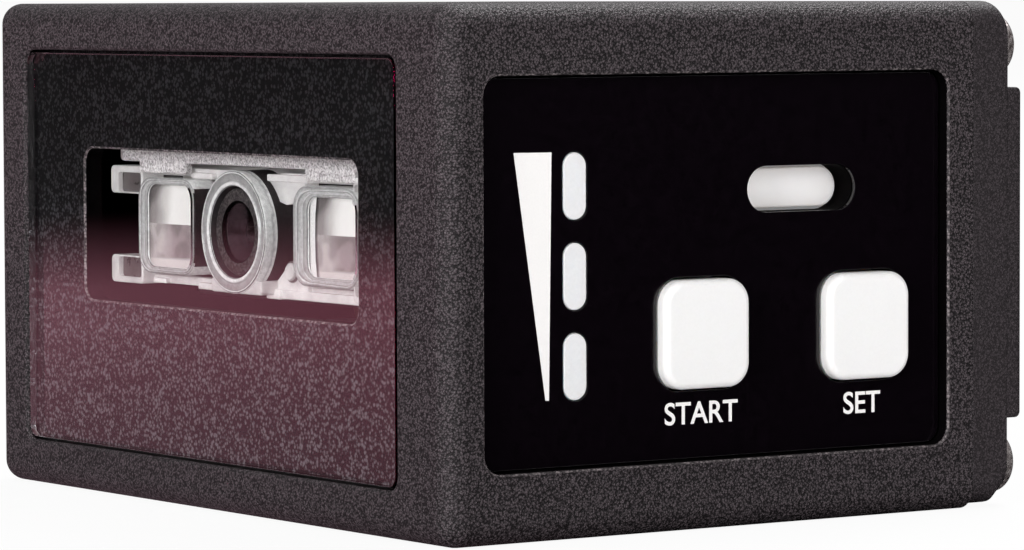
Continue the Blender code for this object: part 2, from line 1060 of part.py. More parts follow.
def add_lips(cover, front_y):
    """Four bars inside the rim that centre the cover in the housing."""
    left = -half_width + side_wall + fit_gap
    right = panel_inner_x - fit_gap
    bottom = floor_wall + fit_gap
    top = body_height - ceiling_wall - fit_gap
    clear = pillar_reach + fit_gap
    low_y = front_y - lip_depth
    high_y = front_y + cover_thickness / 2
    x_span = (-half_width + clear, half_width - clear)
    z_span = (clear, body_height - clear)
    spans = {
        "bottom": (x_span, (bottom, bottom + lip_thickness)),
        "top": (x_span, (top - lip_thickness, top)),
        "left": ((left, left + lip_thickness), z_span),
        "right": ((right - lip_thickness, right), z_span),
    }
    for side, (xs, zs) in spans.items():
        lip = slab(
            f"cover_lip_{side}",
            None,
            (xs[0], low_y, zs[0]),
            (xs[1], high_y, zs[1]),
        )
        join(cover, lip)


def make_cable_inlet():
    """A rubber bush with a flange on each side of the cover's raised bar."""
    outside = from_front(body_depth) + bar_proud + trim_gap
    inside = from_front(seam_depth)
    flange = inlet_flange_thickness
    length = outside - inside
    profile = [
        (inlet_bore, flange),
        (inlet_flange - flange / 3, flange),
        (inlet_flange, 2 * flange / 3),
        (inlet_flange, 0),
        (inlet_neck, 0),
        (inlet_neck, -length),
        (inlet_flange, -length),
        (inlet_flange, -length - flange),
        (inlet_bore, -length - flange),
    ]
    turned(
        "cable_inlet",
        bush_rubber,
        profile,
        (inlet_position, outside, inlet_level),
        (0, 1, 0),
        closed=True,
        steps=round_steps + 4,
    )


def engine_slab(name, finish, left, right, front, back, bottom, top, **shape):
    """A box placed by its distance from the engine's middle and behind the front face."""
    return slab(
        name,
        finish,
        (engine_x + left, from_front(front), bottom),
        (engine_x + right, from_front(back), top),
        **shape,
    )


def make_engine_frame():
    """The cast frame: top plate with two lips, side cheeks and a cross bar."""
    half = engine_width / 2
    bottom = frame_plate_bottom
    back = frame_front + engine_length
    frame = engine_slab(
        "engine_frame",
        cast_metal,
        -half,
        half,
        frame_front,
        back,
        bottom,
        bottom + frame_plate,
        axis=2,
        corner=frame_corner,
        steps=2,
    )
    cheek_front = cover_plate_back + fit_gap
    cheek_foot = engine_level - engine_board_height / 2
    for side in (-1, 1):
        tag = "left" if side < 0 else "right"
        lip_inner = lens_block_inner + frame_lip_inset
        lip_xs = sorted((side * lip_inner, side * (ear_inner - trim_gap)))
        lip = engine_slab(
            f"frame_lip_{tag}",
            None,
            *lip_xs,
            frame_front,
            frame_front + frame_lip_depth,
            bottom - frame_lip_drop,
            bottom + frame_plate / 2,
        )
        cheek_xs = sorted((side * half, side * (half - frame_cheek)))
        cheek = engine_slab(
            f"frame_cheek_{tag}",
            None,
            *cheek_xs,
            cheek_front,
            back - frame_corner,
            cheek_foot,
            bottom + frame_plate / 2,
        )
        join(frame, lip, cheek)
    screw_y = engine_screw_places()[0][1]
    bar = slab(
        "frame_bar",
        None,
        (
            engine_x - half + frame_cheek / 2,
            screw_y - frame_bar_depth / 2,
            cheek_foot - frame_bar_height + fit_gap,
        ),
        (
            engine_x + half - frame_cheek / 2,
            screw_y + frame_bar_depth / 2,
            cheek_foot + fit_gap,
        ),
    )
    join(frame, bar)
    for index, (x, y) in enumerate(engine_screw_places(), 1):
        start = (x, y, bottom - cut_over)
        end = (x, y, bottom + frame_plate + cut_over)
        through = hole(
            f"frame_hole_{index}", start, end, small_screw_radius + trim_gap, small_steps
        )
        cut(frame, through)
        small_screw(f"engine_screw_{index}", (x, y, bottom - fit_gap), (0, 0, -1))


def make_light_cover():
    """The clear moulding: plate, two lens blocks, round collar and four clip ears."""
    half = cover_plate_width / 2
    bottom = engine_level - cover_plate_height / 2
    top = engine_level + cover_plate_height / 2
    moulding = engine_slab(
        "light_cover",
        clear_moulding,
        -half,
        half,
        cover_plate_front,
        cover_plate_back,
        bottom,
        top,
    )
    gap_half = cover_gap_height / 2
    gap_outer = lens_block_inner - trim_gap
    for side in (-1, 1):
        tag = "left" if side < 0 else "right"
        gap_xs = sorted((side * collar_bore, side * gap_outer))
        gap = engine_slab(
            f"moulding_gap_{tag}",
            None,
            *gap_xs,
            cover_plate_front - cut_over,
            cover_plate_back + cut_over,
            engine_level - gap_half,
            engine_level + gap_half,
        )
        cut(moulding, gap)
        block_xs = sorted(
            (side * lens_block_inner, side * (lens_block_inner + lens_block_width))
        )
        block = engine_slab(
            f"lens_block_{tag}",
            None,
            *block_xs,
            lens_block_front,
            cover_plate_back - cover_plate_thickness / 4,
            engine_level - lens_block_height / 2,
            engine_level + lens_block_height / 2,
        )
        round_all(block, lens_block_edge)
        join(moulding, block)
        add_ears(moulding, side, tag, bottom, top)
    collar = rod(
        "collar",
        None,
        (engine_x, from_front(collar_front), engine_level),
        (engine_x, from_front(cover_plate_back), engine_level),
        collar_radius,
        round_steps + 8,
    )
    bore = hole(
        "collar_bore",
        (engine_x, from_front(collar_front) - cut_over, engine_level),
        (engine_x, from_front(cover_plate_back) + cut_over, engine_level),
        collar_bore,
        round_steps + 8,
    )
    join(moulding, collar)
    cut(moulding, bore)


def add_ears(moulding, side, tag, bottom, top):
    """Two clip ears on one side of the moulding, each with a pocket in its front."""
    outer = ear_inner + ear_length
    ear_xs = sorted((side * ear_inner, side * outer))
    pocket_xs = sorted((side * (ear_inner - cut_over), side * (outer - ear_wall - trim_gap)))
    for end, low in (("lower", bottom - trim_gap), ("upper", top + trim_gap - ear_height)):
        ear = engine_slab(
            f"ear_{end}_{tag}",
            None,
            *ear_xs,
            ear_front,
            cover_plate_back - lens_block_gap,
            low,
            low + ear_height,
            axis=1,
            corner=trim_gap,
            steps=1,
        )
        pocket = engine_slab(
            f"ear_pocket_{end}_{tag}",
            None,
            *pocket_xs,
            ear_front - cut_over,
            ear_front + ear_pocket,
            low + ear_wall,
            low + ear_height - ear_wall,
        )
        cut(ear, pocket)
        join(moulding, ear)


def make_camera():
    """Lens holder, barrel, lens and image sensor on the engine's axis."""
    holder_front = cover_plate_back + fit_gap
    holder_back = sensor_board_front - fit_gap
    half_height = holder_height / 2
    holder = engine_slab(
        "lens_holder",
        black_plastic,
        -holder_width / 2,
        holder_width / 2,
        holder_front,
        holder_back,
        engine_level - half_height,
        engine_level + half_height,
        axis=1,
        corner=trim_gap,
        steps=1,
    )
    bore = hole(
        "holder_bore",
        (engine_x, from_front(holder_front) - cut_over, engine_level),
        (engine_x, from_front(holder_back) + cut_over, engine_level),
        barrel_radius + trim_gap,
    )
    cut(holder, bore)
    facing = (0, -1, 0)
    profile = [
        (barrel_bore + barrel_rim, 0),
        (barrel_radius - barrel_rim, 0),
        (barrel_radius, -barrel_rim),
        (barrel_radius, -barrel_length),
        (barrel_bore, -barrel_length),
        (barrel_bore, -lens_sink),
    ]
    foot = (engine_x, from_front(barrel_front), engine_level)
    turned("lens_barrel", black_plastic, profile, foot, facing, closed=True, steps=24)
    lens_radius = barrel_bore - trim_gap
    half = lens_radius / 2
    crown = lens_crown
    profile = [
        (0, 0),
        (half, -crown / 4),
        (lens_radius, -crown),
        (lens_radius, crown - lens_thickness),
        (half, crown / 4 - lens_thickness),
        (0, -lens_thickness),
    ]
    foot = (engine_x, from_front(barrel_front + lens_sink), engine_level)
    turned("camera_lens", lens_glass, profile, foot, facing, steps=24)
    engine_slab(
        "image_sensor",
        chip_black,
        -sensor_width / 2,
        sensor_width / 2,
        sensor_board_front - trim_gap - sensor_thickness,
        sensor_board_front - trim_gap,
        engine_level - sensor_height / 2,
        engine_level + sensor_height / 2,
    )


def make_engine_boards():
    """The light board around the lens holder and the sensor board that closes the engine."""
    half = engine_inner_width / 2
    bottom = engine_level - engine_board_height / 2 + 2 * fit_gap
    top = frame_plate_bottom - fit_gap
    light_board = engine_slab(
        "light_board",
        board_green,
        -half,
        half,
        light_board_front,
        light_board_front + engine_board_thickness,
        bottom,
        top,
    )
    opening_half = holder_height / 2 + trim_gap
    opening = engine_slab(
        "light_board_opening",
        None,
        -holder_width / 2 - fit_gap,
        holder_width / 2 + fit_gap,
        light_board_front - cut_over,
        light_board_front + engine_board_thickness + cut_over,
        engine_level - opening_half,
        engine_level + opening_half,
    )
    cut(light_board, opening)
    led_x = lens_block_inner + lens_block_width / 2
    led_half = light_led_share * lens_block_width / 2
    for side, tag in ((-1, "left"), (1, "right")):
        engine_slab(
            f"light_led_{tag}",
            led_yellow,
            side * led_x - led_half,
            side * led_x + led_half,
            light_board_front - trim_gap - led_height,
            light_board_front - trim_gap,
            engine_level - led_size,
            engine_level + led_size,
            axis=1,
            corner=trim_gap,
            steps=1,
        )
    engine_slab(
        "sensor_board",
        board_green,
        -half,
        half,
        sensor_board_front,
        sensor_board_front + engine_board_thickness,
        bottom,
        top,
        axis=1,
        corner=fit_gap,
        steps=1,
    )


def make_engine_cable():
    """Connector, flat flex cable and socket between the engine and the main board."""
    back = sensor_board_front + engine_board_thickness + trim_gap
    bottom = engine_level - engine_board_height / 2 + 2 * fit_gap
    engine_slab(
        "engine_connector",
        connector_cream,
        -connector_half,
        connector_half,
        back,
        back + connector_depth,
        bottom,
        bottom + connector_height,
    )
    socket_bottom = main_board_top + trim_gap
    socket_distance = main_board_front + engine_socket_share * main_board_length
    engine_slab(
        "engine_socket",
        connector_cream,
        -connector_half,
        connector_half,
        socket_distance,
        socket_distance + socket_depth,
        socket_bottom,
        socket_bottom + socket_height,
    )
    start = (back + connector_depth / 2, bottom - fit_gap)
    end = (socket_distance - fit_gap, socket_bottom + socket_height / 2)
    corner = (start[0], end[1])
    make_flex(start, corner, end)


def flex_point(start, corner, end, share):
    """A point on the quadratic curve that leaves start and reaches end by way of the corner."""
    rest = 1 - share
    weights = (rest * rest, 2 * rest * share, share * share)
    triple = zip(start, corner, end)
    return [sum(w * value for w, value in zip(weights, values)) for values in triple]


def make_flex(start, corner, end):
    bm = bmesh.new()
    rows = []
    for step in range(flex_steps + 1):
        distance, level = flex_point(start, corner, end, step / flex_steps)
        row = []
        for side in (-1, 1):
            x = engine_x + side * flex_width / 2
            row.append(bm.verts.new((x, from_front(distance), level)))
        rows.append(row)
    for before, after in zip(rows, rows[1:]):
        bm.faces.new((before[0], before[1], after[1], after[0]))
    mesh = bpy.data.meshes.new("engine_flex")
    bm.to_mesh(mesh)
    bm.free()
    flex = place("engine_flex", mesh, flex_amber)
    solidify = flex.modifiers.new("thickness", "SOLIDIFY")
    solidify.thickness = flex_thickness
    solidify.offset = 0.0


def board_place(place_shares):
    """X and Y of a point of the main board, from shares of its width and length."""
    x = main_board_left + place_shares[0] * main_board_width
    y = from_front(main_board_front + place_shares[1] * main_board_length)
    return x, y


def board_part(name, finish, place_shares, size_shares, height, **shape):
    """A block that stands on the main board."""
    x, y = board_place(place_shares)
    half_x = size_shares[0] * main_board_width / 2
    half_y = size_shares[1] * main_board_length / 2
    bottom = main_board_top + trim_gap
    return slab(
        name,
        finish,
        (x - half_x, y - half_y, bottom),
        (x + half_x, y + half_y, bottom + height),
        **shape,
    )


def make_main_board():
    board = slab(
        "main_board",
        board_green,
        (main_board_left, from_front(main_board_front), main_board_level),
        (
            main_board_right,
            from_front(main_board_front + main_board_length),
            main_board_top,
        ),
        corner=frame_corner,
        steps=1,
    )
    for index, (x, y) in enumerate(main_screw_places(), 1):
        start = (x, y, main_board_level - cut_over)
        end = (x, y, main_board_top + cut_over)
        through = hole(
            f"main_hole_{index}", start, end, small_screw_radius + trim_gap, small_steps
        )
        cut(board, through)
        seat = (x, y, main_board_top + fit_gap)
        small_screw(f"main_board_screw_{index}", seat, (0, 0, 1))
    board_part(
        "processor", chip_black, processor_place, processor_shares, processor_height
    )
    board_part("memory", chip_black, memory_place, memory_shares, memory_height)
    board_part(
        "power_inductor",
        coil_grey,
        inductor_place,
        inductor_shares,
        inductor_height,
        corner=frame_corner,
        steps=2,
    )
    board_part(
        "cable_connector",
        connector_cream,
        cable_connector_place,
        cable_connector_shares,
        cable_connector_height,
    )
    make_capacitor()
    make_buzzer()
    make_board_header()


def make_capacitor():
    x, y = board_place(capacitor_place)
    foot = main_board_top + trim_gap
    top = foot + capacitor_height
    radius = capacitor_share * main_board_length
    can = rod("capacitor", screw_steel, (x, y, foot), (x, y, top), radius, 16)
    round_all(can, trim_gap, 1)


def make_board_header():
    """The header on the main board that meets the control board under the left key."""
    foot = main_board_top + trim_gap
    right = control_board_back_x - fit_gap
    y = from_front(key_positions["left"])
    slab(
        "board_header",
        connector_cream,
        (right - header_reach, y - header_length / 2, foot),
        (right, y + header_length / 2, foot + header_height),
    )


def make_buzzer():
    """A flat sounder with its port in the middle of the top."""
    x, y = board_place(buzzer_place)
    foot = main_board_top + trim_gap
    port = buzzer_port
    radius = buzzer_share * main_board_length
    profile = [
        (port, buzzer_height),
        (radius - trim_gap, buzzer_height),
        (radius, buzzer_height - trim_gap),
        (radius, 0),
        (0, 0),
        (0, buzzer_height / 2),
        (port, buzzer_height / 2),
        (port, buzzer_height),
    ]
    turned("buzzer", chip_black, profile, (x, y, foot), (0, 0, 1), steps=round_steps)


def make_inserts():
    """Threaded brass inserts that take the fixing screws from below."""
    for index, (x, y) in enumerate(insert_places(), 1):
        groove = insert_radius - trim_gap
        profile = [
            (insert_bore, insert_length),
            (insert_radius, insert_length),
            (insert_radius, 0.62 * insert_length),
            (groove, 0.55 * insert_length),
            (groove, 0.45 * insert_length),
            (insert_radius, 0.38 * insert_length),
            (insert_radius, 0),
            (insert_bore, 0),
        ]
        turned(
            f"mounting_insert_{index}",
            insert_brass,
            profile,
            (x, y, insert_setback),
            (0, 0, 1),
            closed=True,
        )


def smooth_round_faces():
    """Round pieces are shaded smooth, with their sharp edges kept."""
    for made in parts.objects:
        made.data.shade_smooth()
        made.data.set_sharp_from_angle(angle=math.radians(35))


make_housing()
make_window()
make_label()
for key_side, key_position in key_positions.items():
    make_key(key_side, key_position)
make_status_light()
make_level_lights()
make_control_board()
make_rear_cover()
make_cable_inlet()
make_engine_frame()
make_light_cover()
make_camera()
make_engine_boards()
make_engine_cable()
make_main_board()
make_inserts()
smooth_round_faces()
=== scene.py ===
import json
import math

import bmesh
import bpy
import numpy as np
from mathutils import Matrix, Vector


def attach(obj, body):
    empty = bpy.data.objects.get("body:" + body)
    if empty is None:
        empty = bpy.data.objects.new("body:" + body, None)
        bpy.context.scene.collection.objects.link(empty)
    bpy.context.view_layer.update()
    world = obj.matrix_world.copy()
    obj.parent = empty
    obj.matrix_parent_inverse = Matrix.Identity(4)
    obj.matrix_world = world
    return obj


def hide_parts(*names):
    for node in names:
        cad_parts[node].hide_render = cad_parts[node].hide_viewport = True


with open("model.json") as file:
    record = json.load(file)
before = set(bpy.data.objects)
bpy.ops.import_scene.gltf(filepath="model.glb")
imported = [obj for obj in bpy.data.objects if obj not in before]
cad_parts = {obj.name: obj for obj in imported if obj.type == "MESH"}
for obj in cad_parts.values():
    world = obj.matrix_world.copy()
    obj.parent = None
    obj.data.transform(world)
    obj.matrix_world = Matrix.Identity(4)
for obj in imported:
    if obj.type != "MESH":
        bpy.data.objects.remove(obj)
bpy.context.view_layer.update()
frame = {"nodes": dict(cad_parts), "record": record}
print("frame loaded,", len(frame["nodes"]), "nodes")

unit = 0.001  # sizes below are in millimetres, and become metres when a mesh is made
frontY = -20.0  # the housing's front face
engineX, engineZ = -0.3, 16.5  # the reading engine's axis


# A closed ring of points round a rounded rectangle: each corner is a quarter circle about a centre that
# lies one radius in from both sides.
def ringPoints(left, right, low, high, radius, cornerSteps):
    halfSize = np.array([right - left, high - low]) / 2
    middle = np.array([right + left, high + low]) / 2
    radius = float(np.clip(radius, 1e-3, 0.4999 * 2 * halfSize.min()))
    turn = np.linspace(0, math.pi / 2, cornerSteps + 1)
    angle = (np.arange(4)[:, None] * math.pi / 2 + turn).ravel()
    signs = np.array([[1, 1], [-1, 1], [-1, -1], [1, -1]])
    centres = np.repeat(middle + signs * (halfSize - radius), cornerSteps + 1, axis=0)
    return centres + radius * np.stack([np.cos(angle), np.sin(angle)], axis=1)


# Quads of a grid whose rings close on themselves, and whose last ring meets its first where loop is true.
def gridFaces(rows, columns, loop):
    row = np.arange(rows if loop else rows - 1)[:, None]
    column = np.arange(columns)[None, :]
    here, above = row * columns, (row + 1) % rows * columns
    beside = (column + 1) % columns
    quads = np.stack([here + column, here + beside, above + beside, above + column], axis=-1)
    return quads.reshape(-1, 4).tolist()


# Puts ring points (a, b, depth) into X, Y, Z: depth runs along the named axis.
def alongAxis(points, axis):
    a, b, depth = points[..., 0], points[..., 1], points[..., 2]
    order = {"x": (depth, a, b), "y": (a, depth, b), "z": (a, b, depth)}[axis]
    return np.stack(order, axis=-1)


# A solid from rows of (left, right, low, high, radius, depth): one rounded ring for each row, joined in turn.
# Its ends are closed by flat caps, or the last ring joins the first where loop is true.
def ringSolid(rows, axis="y", cornerSteps=8, loop=False):
    rings = [
        np.column_stack([ringPoints(*row[:5], cornerSteps), np.full(4 * (cornerSteps + 1), row[5])])
        for row in rows
    ]
    points = alongAxis(np.array(rings), axis)
    count = points.shape[1]
    faces = gridFaces(len(rows), count, loop)
    if not loop:
        last = (len(rows) - 1) * count
        faces.append(list(range(count)))
        faces.append(list(range(last, last + count)))
    return points.reshape(-1, 3), faces


# The same solid from one outline and a profile of (inset, depth): each ring is the outline drawn in by inset.
def outlineSolid(box, radius, profile, axis="y", cornerSteps=8):
    left, right, low, high = box
    rows = [
        (left + inset, right - inset, low + inset, high - inset, radius - inset, depth)
        for inset, depth in profile
    ]
    return ringSolid(rows, axis, cornerSteps)


# Points of a circular arc in a profile, from one angle to another in degrees.
def arc(centre, radius, start, end, steps):
    angle = np.radians(np.linspace(start, end, steps + 1))
    points = np.array(centre) + radius * np.stack([np.cos(angle), np.sin(angle)], axis=1)
    return [tuple(point) for point in points]


# Profile of a block from its back to its front, with a quarter circle at each edge.
def easedProfile(back, front, edge, steps=5, backEdge=None):
    away = 1 if front > back else -1
    backEdge = edge if backEdge is None else backEdge
    rear = [(x, back + away * (backEdge - z)) for x, z in arc((backEdge, 0), backEdge, 90, 180, steps)]
    face = [(x, front - away * (edge - z)) for x, z in arc((edge, 0), edge, 180, 90, steps)]
    return rear + face


# A block with rounded corners along one axis and eased edges at both ends.
def easedBlock(low, high, axis="y", corner=0.3, edge=0.12, cornerSteps=5, steps=3):
    index = "xyz".index(axis)
    others = [i for i in range(3) if i != index]
    box = (low[others[0]], high[others[0]], low[others[1]], high[others[1]])
    return outlineSolid(box, corner, easedProfile(low[index], high[index], edge, steps), axis, cornerSteps)


# A turned solid: a profile of (radius, height) carried once round an axis through foot, closed where its
# ends lie on the axis, or joined end to end where loop is true.
def turnedSolid(profile, foot, axis, steps=48, loop=False):
    profile = np.array(profile, float)
    angle = np.linspace(0, 2 * math.pi, steps, endpoint=False)
    radius, height = profile[:, 0][:, None], profile[:, 1][:, None]
    points = np.stack([radius * np.cos(angle), radius * np.sin(angle), height + 0 * angle], axis=-1)
    faces = gridFaces(len(profile), steps, loop)
    turn = Vector((0, 0, 1)).rotation_difference(Vector(axis)).to_matrix()
    points = points.reshape(-1, 3) @ np.array(turn).T + np.array(foot, float)
    return points, faces


# Merges the points of a mesh that fall together, and turns its faces outwards.
def cleanMesh(mesh, gap, sliver=None):
    work = bmesh.new()
    work.from_mesh(mesh)
    bmesh.ops.remove_doubles(work, verts=work.verts, dist=gap)
    if sliver:
        bmesh.ops.dissolve_degenerate(work, edges=work.edges, dist=sliver)
    bmesh.ops.recalc_face_normals(work, faces=work.faces)
    work.to_mesh(mesh)
    work.free()
    return mesh


# Joins solids into one mesh in metres.
def meshOf(name, solids):
    points, faces, count = [], [], 0
    for solidPoints, solidFaces in solids:
        points.append(solidPoints)
        faces += [[index + count for index in face] for face in solidFaces]
        count += len(solidPoints)
    mesh = bpy.data.meshes.new(name)
    mesh.from_pydata(np.concatenate(points) * unit, [], faces)
    return cleanMesh(mesh, 2e-6, 1e-7)


def newObject(name, data):
    made = bpy.data.objects.new(name, data)
    bpy.context.scene.collection.objects.link(made)
    return made


def finishedMesh(item):
    return bpy.data.meshes.new_from_object(item.evaluated_get(bpy.context.evaluated_depsgraph_get()))


# Cuts tools out of a piece one after another, and keeps the result as its mesh.
def cutAway(piece, tools):
    for tool in tools:
        modifier = piece.modifiers.new("cut", "BOOLEAN")
        modifier.object = newObject("tool", meshOf("tool", [tool]))
        modifier.solver = "EXACT"
    cut = finishedMesh(piece)
    for modifier in list(piece.modifiers):
        bpy.data.objects.remove(modifier.object)
        piece.modifiers.remove(modifier)
    piece.data = cut


# Makes a piece of solids, or of a mesh that is ready: its finishes, by name, the node that it stands for,
# what is cut out of it and the body that it rides on.
def addPiece(name, solids, finish, stands=None, cuts=(), body="reader", sharp=32, smooth=True):
    piece = newObject(name, meshOf(name, solids) if isinstance(solids, list) else solids)
    if cuts:
        cutAway(piece, cuts)
    for one in finish.split():
        piece.data.materials.append(finishes[one])
    if smooth:
        piece.data.shade_smooth()
        piece.data.set_sharp_from_angle(angle=math.radians(sharp))
        even = piece.modifiers.new("evenShading", "WEIGHTED_NORMAL")
        even.keep_sharp = True
        even.weight = 80
    else:
        piece.data.shade_flat()
    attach(piece, body)
    if stands:
        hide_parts(stands)
    return piece


# The middles of a piece's faces, in millimetres.
def faceMiddles(piece):
    middles = np.zeros(len(piece.data.polygons) * 3)
    piece.data.polygons.foreach_get("center", middles)
    return middles.reshape(-1, 3) / unit


# Gives each face one of its piece's finishes by number.
def finishFaces(piece, kinds):
    piece.data.polygons.foreach_set("material_index", kinds.astype(np.int32))


def newNode(tree, kind):
    return tree.nodes.new("ShaderNode" + kind)


def link(source, socket):
    socket.id_data.links.new(source, socket)


# A new material with its Principled shader and an Object coordinate in millimetres.
def newFinish(name, **values):
    material = bpy.data.materials.new(name)
    material.use_nodes = True
    tree = material.node_tree
    shader = tree.nodes["Principled BSDF"]
    setSockets(shader, values)
    place, scale = newNode(tree, "TexCoord"), newNode(tree, "Mapping")
    scale.inputs["Scale"].default_value = (1 / unit, 1 / unit, 1 / unit)
    link(place.outputs["Object"], scale.inputs["Vector"])
    return material, shader, scale.outputs["Vector"]


def setSockets(shader, values):
    names = {
        "colour": "Base Color", "rough": "Roughness", "metal": "Metallic", "clear": "Transmission Weight",
        "ior": "IOR", "specular": "Specular IOR Level", "tint": "Specular Tint", "coat": "Coat Weight",
        "coatRough": "Coat Roughness", "glow": "Emission Strength", "glowColour": "Emission Color",
        "soft": "Subsurface Weight",
    }
    for key, value in values.items():
        if isinstance(value, tuple):
            value = (*value, 1.0)
        shader.inputs[names[key]].default_value = value


# Light on its way to another surface passes straight through a clear piece, a little tinted.
def letThrough(shader, tint):
    tree = shader.id_data
    path, passing, mix = (newNode(tree, kind) for kind in ("LightPath", "BsdfTransparent", "MixShader"))
    passing.inputs["Color"].default_value = (*tint, 1.0)
    link(path.outputs["Is Shadow Ray"], mix.inputs["Fac"])
    link(shader.outputs["BSDF"], mix.inputs[1])
    link(passing.outputs["BSDF"], mix.inputs[2])
    link(mix.outputs["Shader"], tree.nodes["Material Output"].inputs["Surface"])


def noise(vector, scale, detail=2.0, rough=0.5):
    node = newNode(vector.id_data, "TexNoise")
    for name, value in (("Scale", scale), ("Detail", detail), ("Roughness", rough)):
        node.inputs[name].default_value = value
    link(vector, node.inputs["Vector"])
    return node.outputs["Fac"]


def cells(vector, scale):
    node = newNode(vector.id_data, "TexVoronoi")
    node.inputs["Scale"].default_value = scale
    link(vector, node.inputs["Vector"])
    return node.outputs["Distance"]


def splitUp(vector):
    node = newNode(vector.id_data, "SeparateXYZ")
    link(vector, node.inputs["Vector"])
    return node.outputs


def ramp(value, stops):
    node = newNode(value.id_data, "ValToRGB")
    band = node.color_ramp
    while len(band.elements) < len(stops):
        band.elements.new(0.5)
    for element, (position, colour) in zip(band.elements, stops):
        element.position = position
        grey = colour if isinstance(colour, tuple) else (colour,) * 3
        element.color = (*grey, 1.0)
    link(value, node.inputs["Fac"])
    return node.outputs["Color"]


def setOrLink(socket, value):
    if isinstance(value, (int, float)):
        socket.default_value = value
    else:
        link(value, socket)


def blend(kind, share, first, second):
    node = newNode(first.id_data, "Mix")
    node.data_type = "RGBA"
    node.blend_type = kind
    setOrLink(node.inputs["Factor"], share)
    link(first, node.inputs["A"])
    link(second, node.inputs["B"])
    return node.outputs["Result"]


# Arithmetic on sockets and plain numbers.
def mathNode(operation, first, second):
    node = newNode((second if isinstance(first, (int, float)) else first).id_data, "Math")
    node.operation = operation
    for socket, value in zip(node.inputs, (first, second)):
        setOrLink(socket, value)
    return node.outputs[0]


def plus(first, second):
    return mathNode("ADD", first, second)


def minus(first, second):
    return mathNode("SUBTRACT", first, second)


def times(first, second):
    return mathNode("MULTIPLY", first, second)


def over(first, second):
    return mathNode("DIVIDE", first, second)


def larger(first, second):
    return mathNode("MAXIMUM", first, second)


def bump(shader, height, depth):
    node = newNode(shader.id_data, "Bump")
    node.inputs["Distance"].default_value = depth * unit
    node.inputs["Strength"].default_value = 1.0
    link(height, node.inputs["Height"])
    link(node.outputs["Normal"], shader.inputs["Normal"])


# Colour and roughness that go from one value to another as a height grows.
def follow(shader, height, spread, colours, rough):
    if colours:
        link(ramp(height, list(zip(spread, colours))), shader.inputs["Base Color"])
    link(ramp(height, list(zip(spread, rough))), shader.inputs["Roughness"])


# Moulded grain: two sizes of noise added up, with the crests lighter and smoother than the pits.
def grainFinish(name, dark, light, grain, depth, rough, spread=(0.55, 0.85), **values):
    material, shader, place = newFinish(name, **values)
    height = plus(noise(place, grain, 2.0, 0.5), times(noise(place, 2.3 * grain, 1.0, 0.5), 0.4))
    follow(shader, height, spread, (dark, light), rough)
    bump(shader, height, depth)
    return material


# Height of a spark-eroded skin: 1 at the middle of each cell, less with the distance from it, and uneven.
def erodedHeight(place, grain, uneven):
    spots = cells(place, grain)
    mottle = minus(noise(place, 0.6 * grain, 3.0, 0.6), 0.5)
    return minus(plus(times(mottle, uneven), 1.0), spots)


def erodedFinish(name, dark, light, grain, depth, rough, spread=(0.4, 0.8), **values):
    material, shader, place = newFinish(name, **values)
    height = erodedHeight(place, grain, 1.0)
    follow(shader, height, spread, (dark, light), rough)
    low, high = spread
    bump(shader, ramp(height, [(low - 0.2, 0.0), (high, 1.0)]), depth)
    return material


# The skin behind the pane: soft round crests on a dark ground, made paler towards the foot by painted light
# from the floor.
def floorLitSpeckFinish(name, dark, light, grain, depth, rough, spread=(0.46, 0.86), **values):
    material, shader, place = newFinish(name, **values)
    crest = erodedHeight(place, grain, 1.3)
    colour = ramp(crest, list(zip(spread, (dark, light))))
    height = over(splitUp(place)["Z"], 30.0)  # share of the casing's height
    # painted floor light: the crests' colour is scaled up 3.4 times near the foot and to under once up high
    lift = newNode(shader.id_data, "VectorMath")
    lift.operation = "SCALE"
    link(colour, lift.inputs[0])
    link(times(ramp(height, [(0.36, 1.0), (0.62, 0.24)]), 3.4), lift.inputs["Scale"])
    link(lift.outputs["Vector"], shader.inputs["Base Color"])
    follow(shader, crest, (0.4, 0.7), None, rough)
    bump(shader, ramp(crest, [(0.35, 0.0), (0.75, 1.0)]), depth)
    return material


# A plain skin whose colour and roughness drift a little with noise.
def plainFinish(name, colour, rough, grain, depth, spread=0.12, **values):
    material, shader, place = newFinish(name, **values)
    value = noise(place, grain, 3.0, 0.55)
    colours = [tuple(min(1.0, c * (1 + part)) for c in colour) for part in (-spread, spread)]
    follow(shader, value, (0.3, 0.7), colours, (rough * 0.85, min(1.0, rough * 1.15)))
    bump(shader, value, depth)
    return material


# painted light and shade for the facets: tone stops for each part, and the painted glow
facetLightAndShade = {
    "upper": [(0.2, (0.36, 0.33, 0.33)), (0.6, (0.93, 0.92, 0.91))],
    "paintedSlantShade": [(0.35, 0.5), (0.55, 1.0)],
    "lower": [(0.35, (0.60, 0.55, 0.55)), (0.6, (0.38, 0.32, 0.33))],
    "patches": [(0.42, 0.7), (0.58, 1.0)],
    "foot": [(0.1, (0.75, 0.7, 0.7)), (0.16, (0.0, 0.0, 0.0))],
    "bar": [(0.985, 1.0), (0.995, 0.0)],
    "gap": [(0.02, 0.25), (0.07, 1.0)],
    "step": 0.53,
    "glow": 0.13,
}
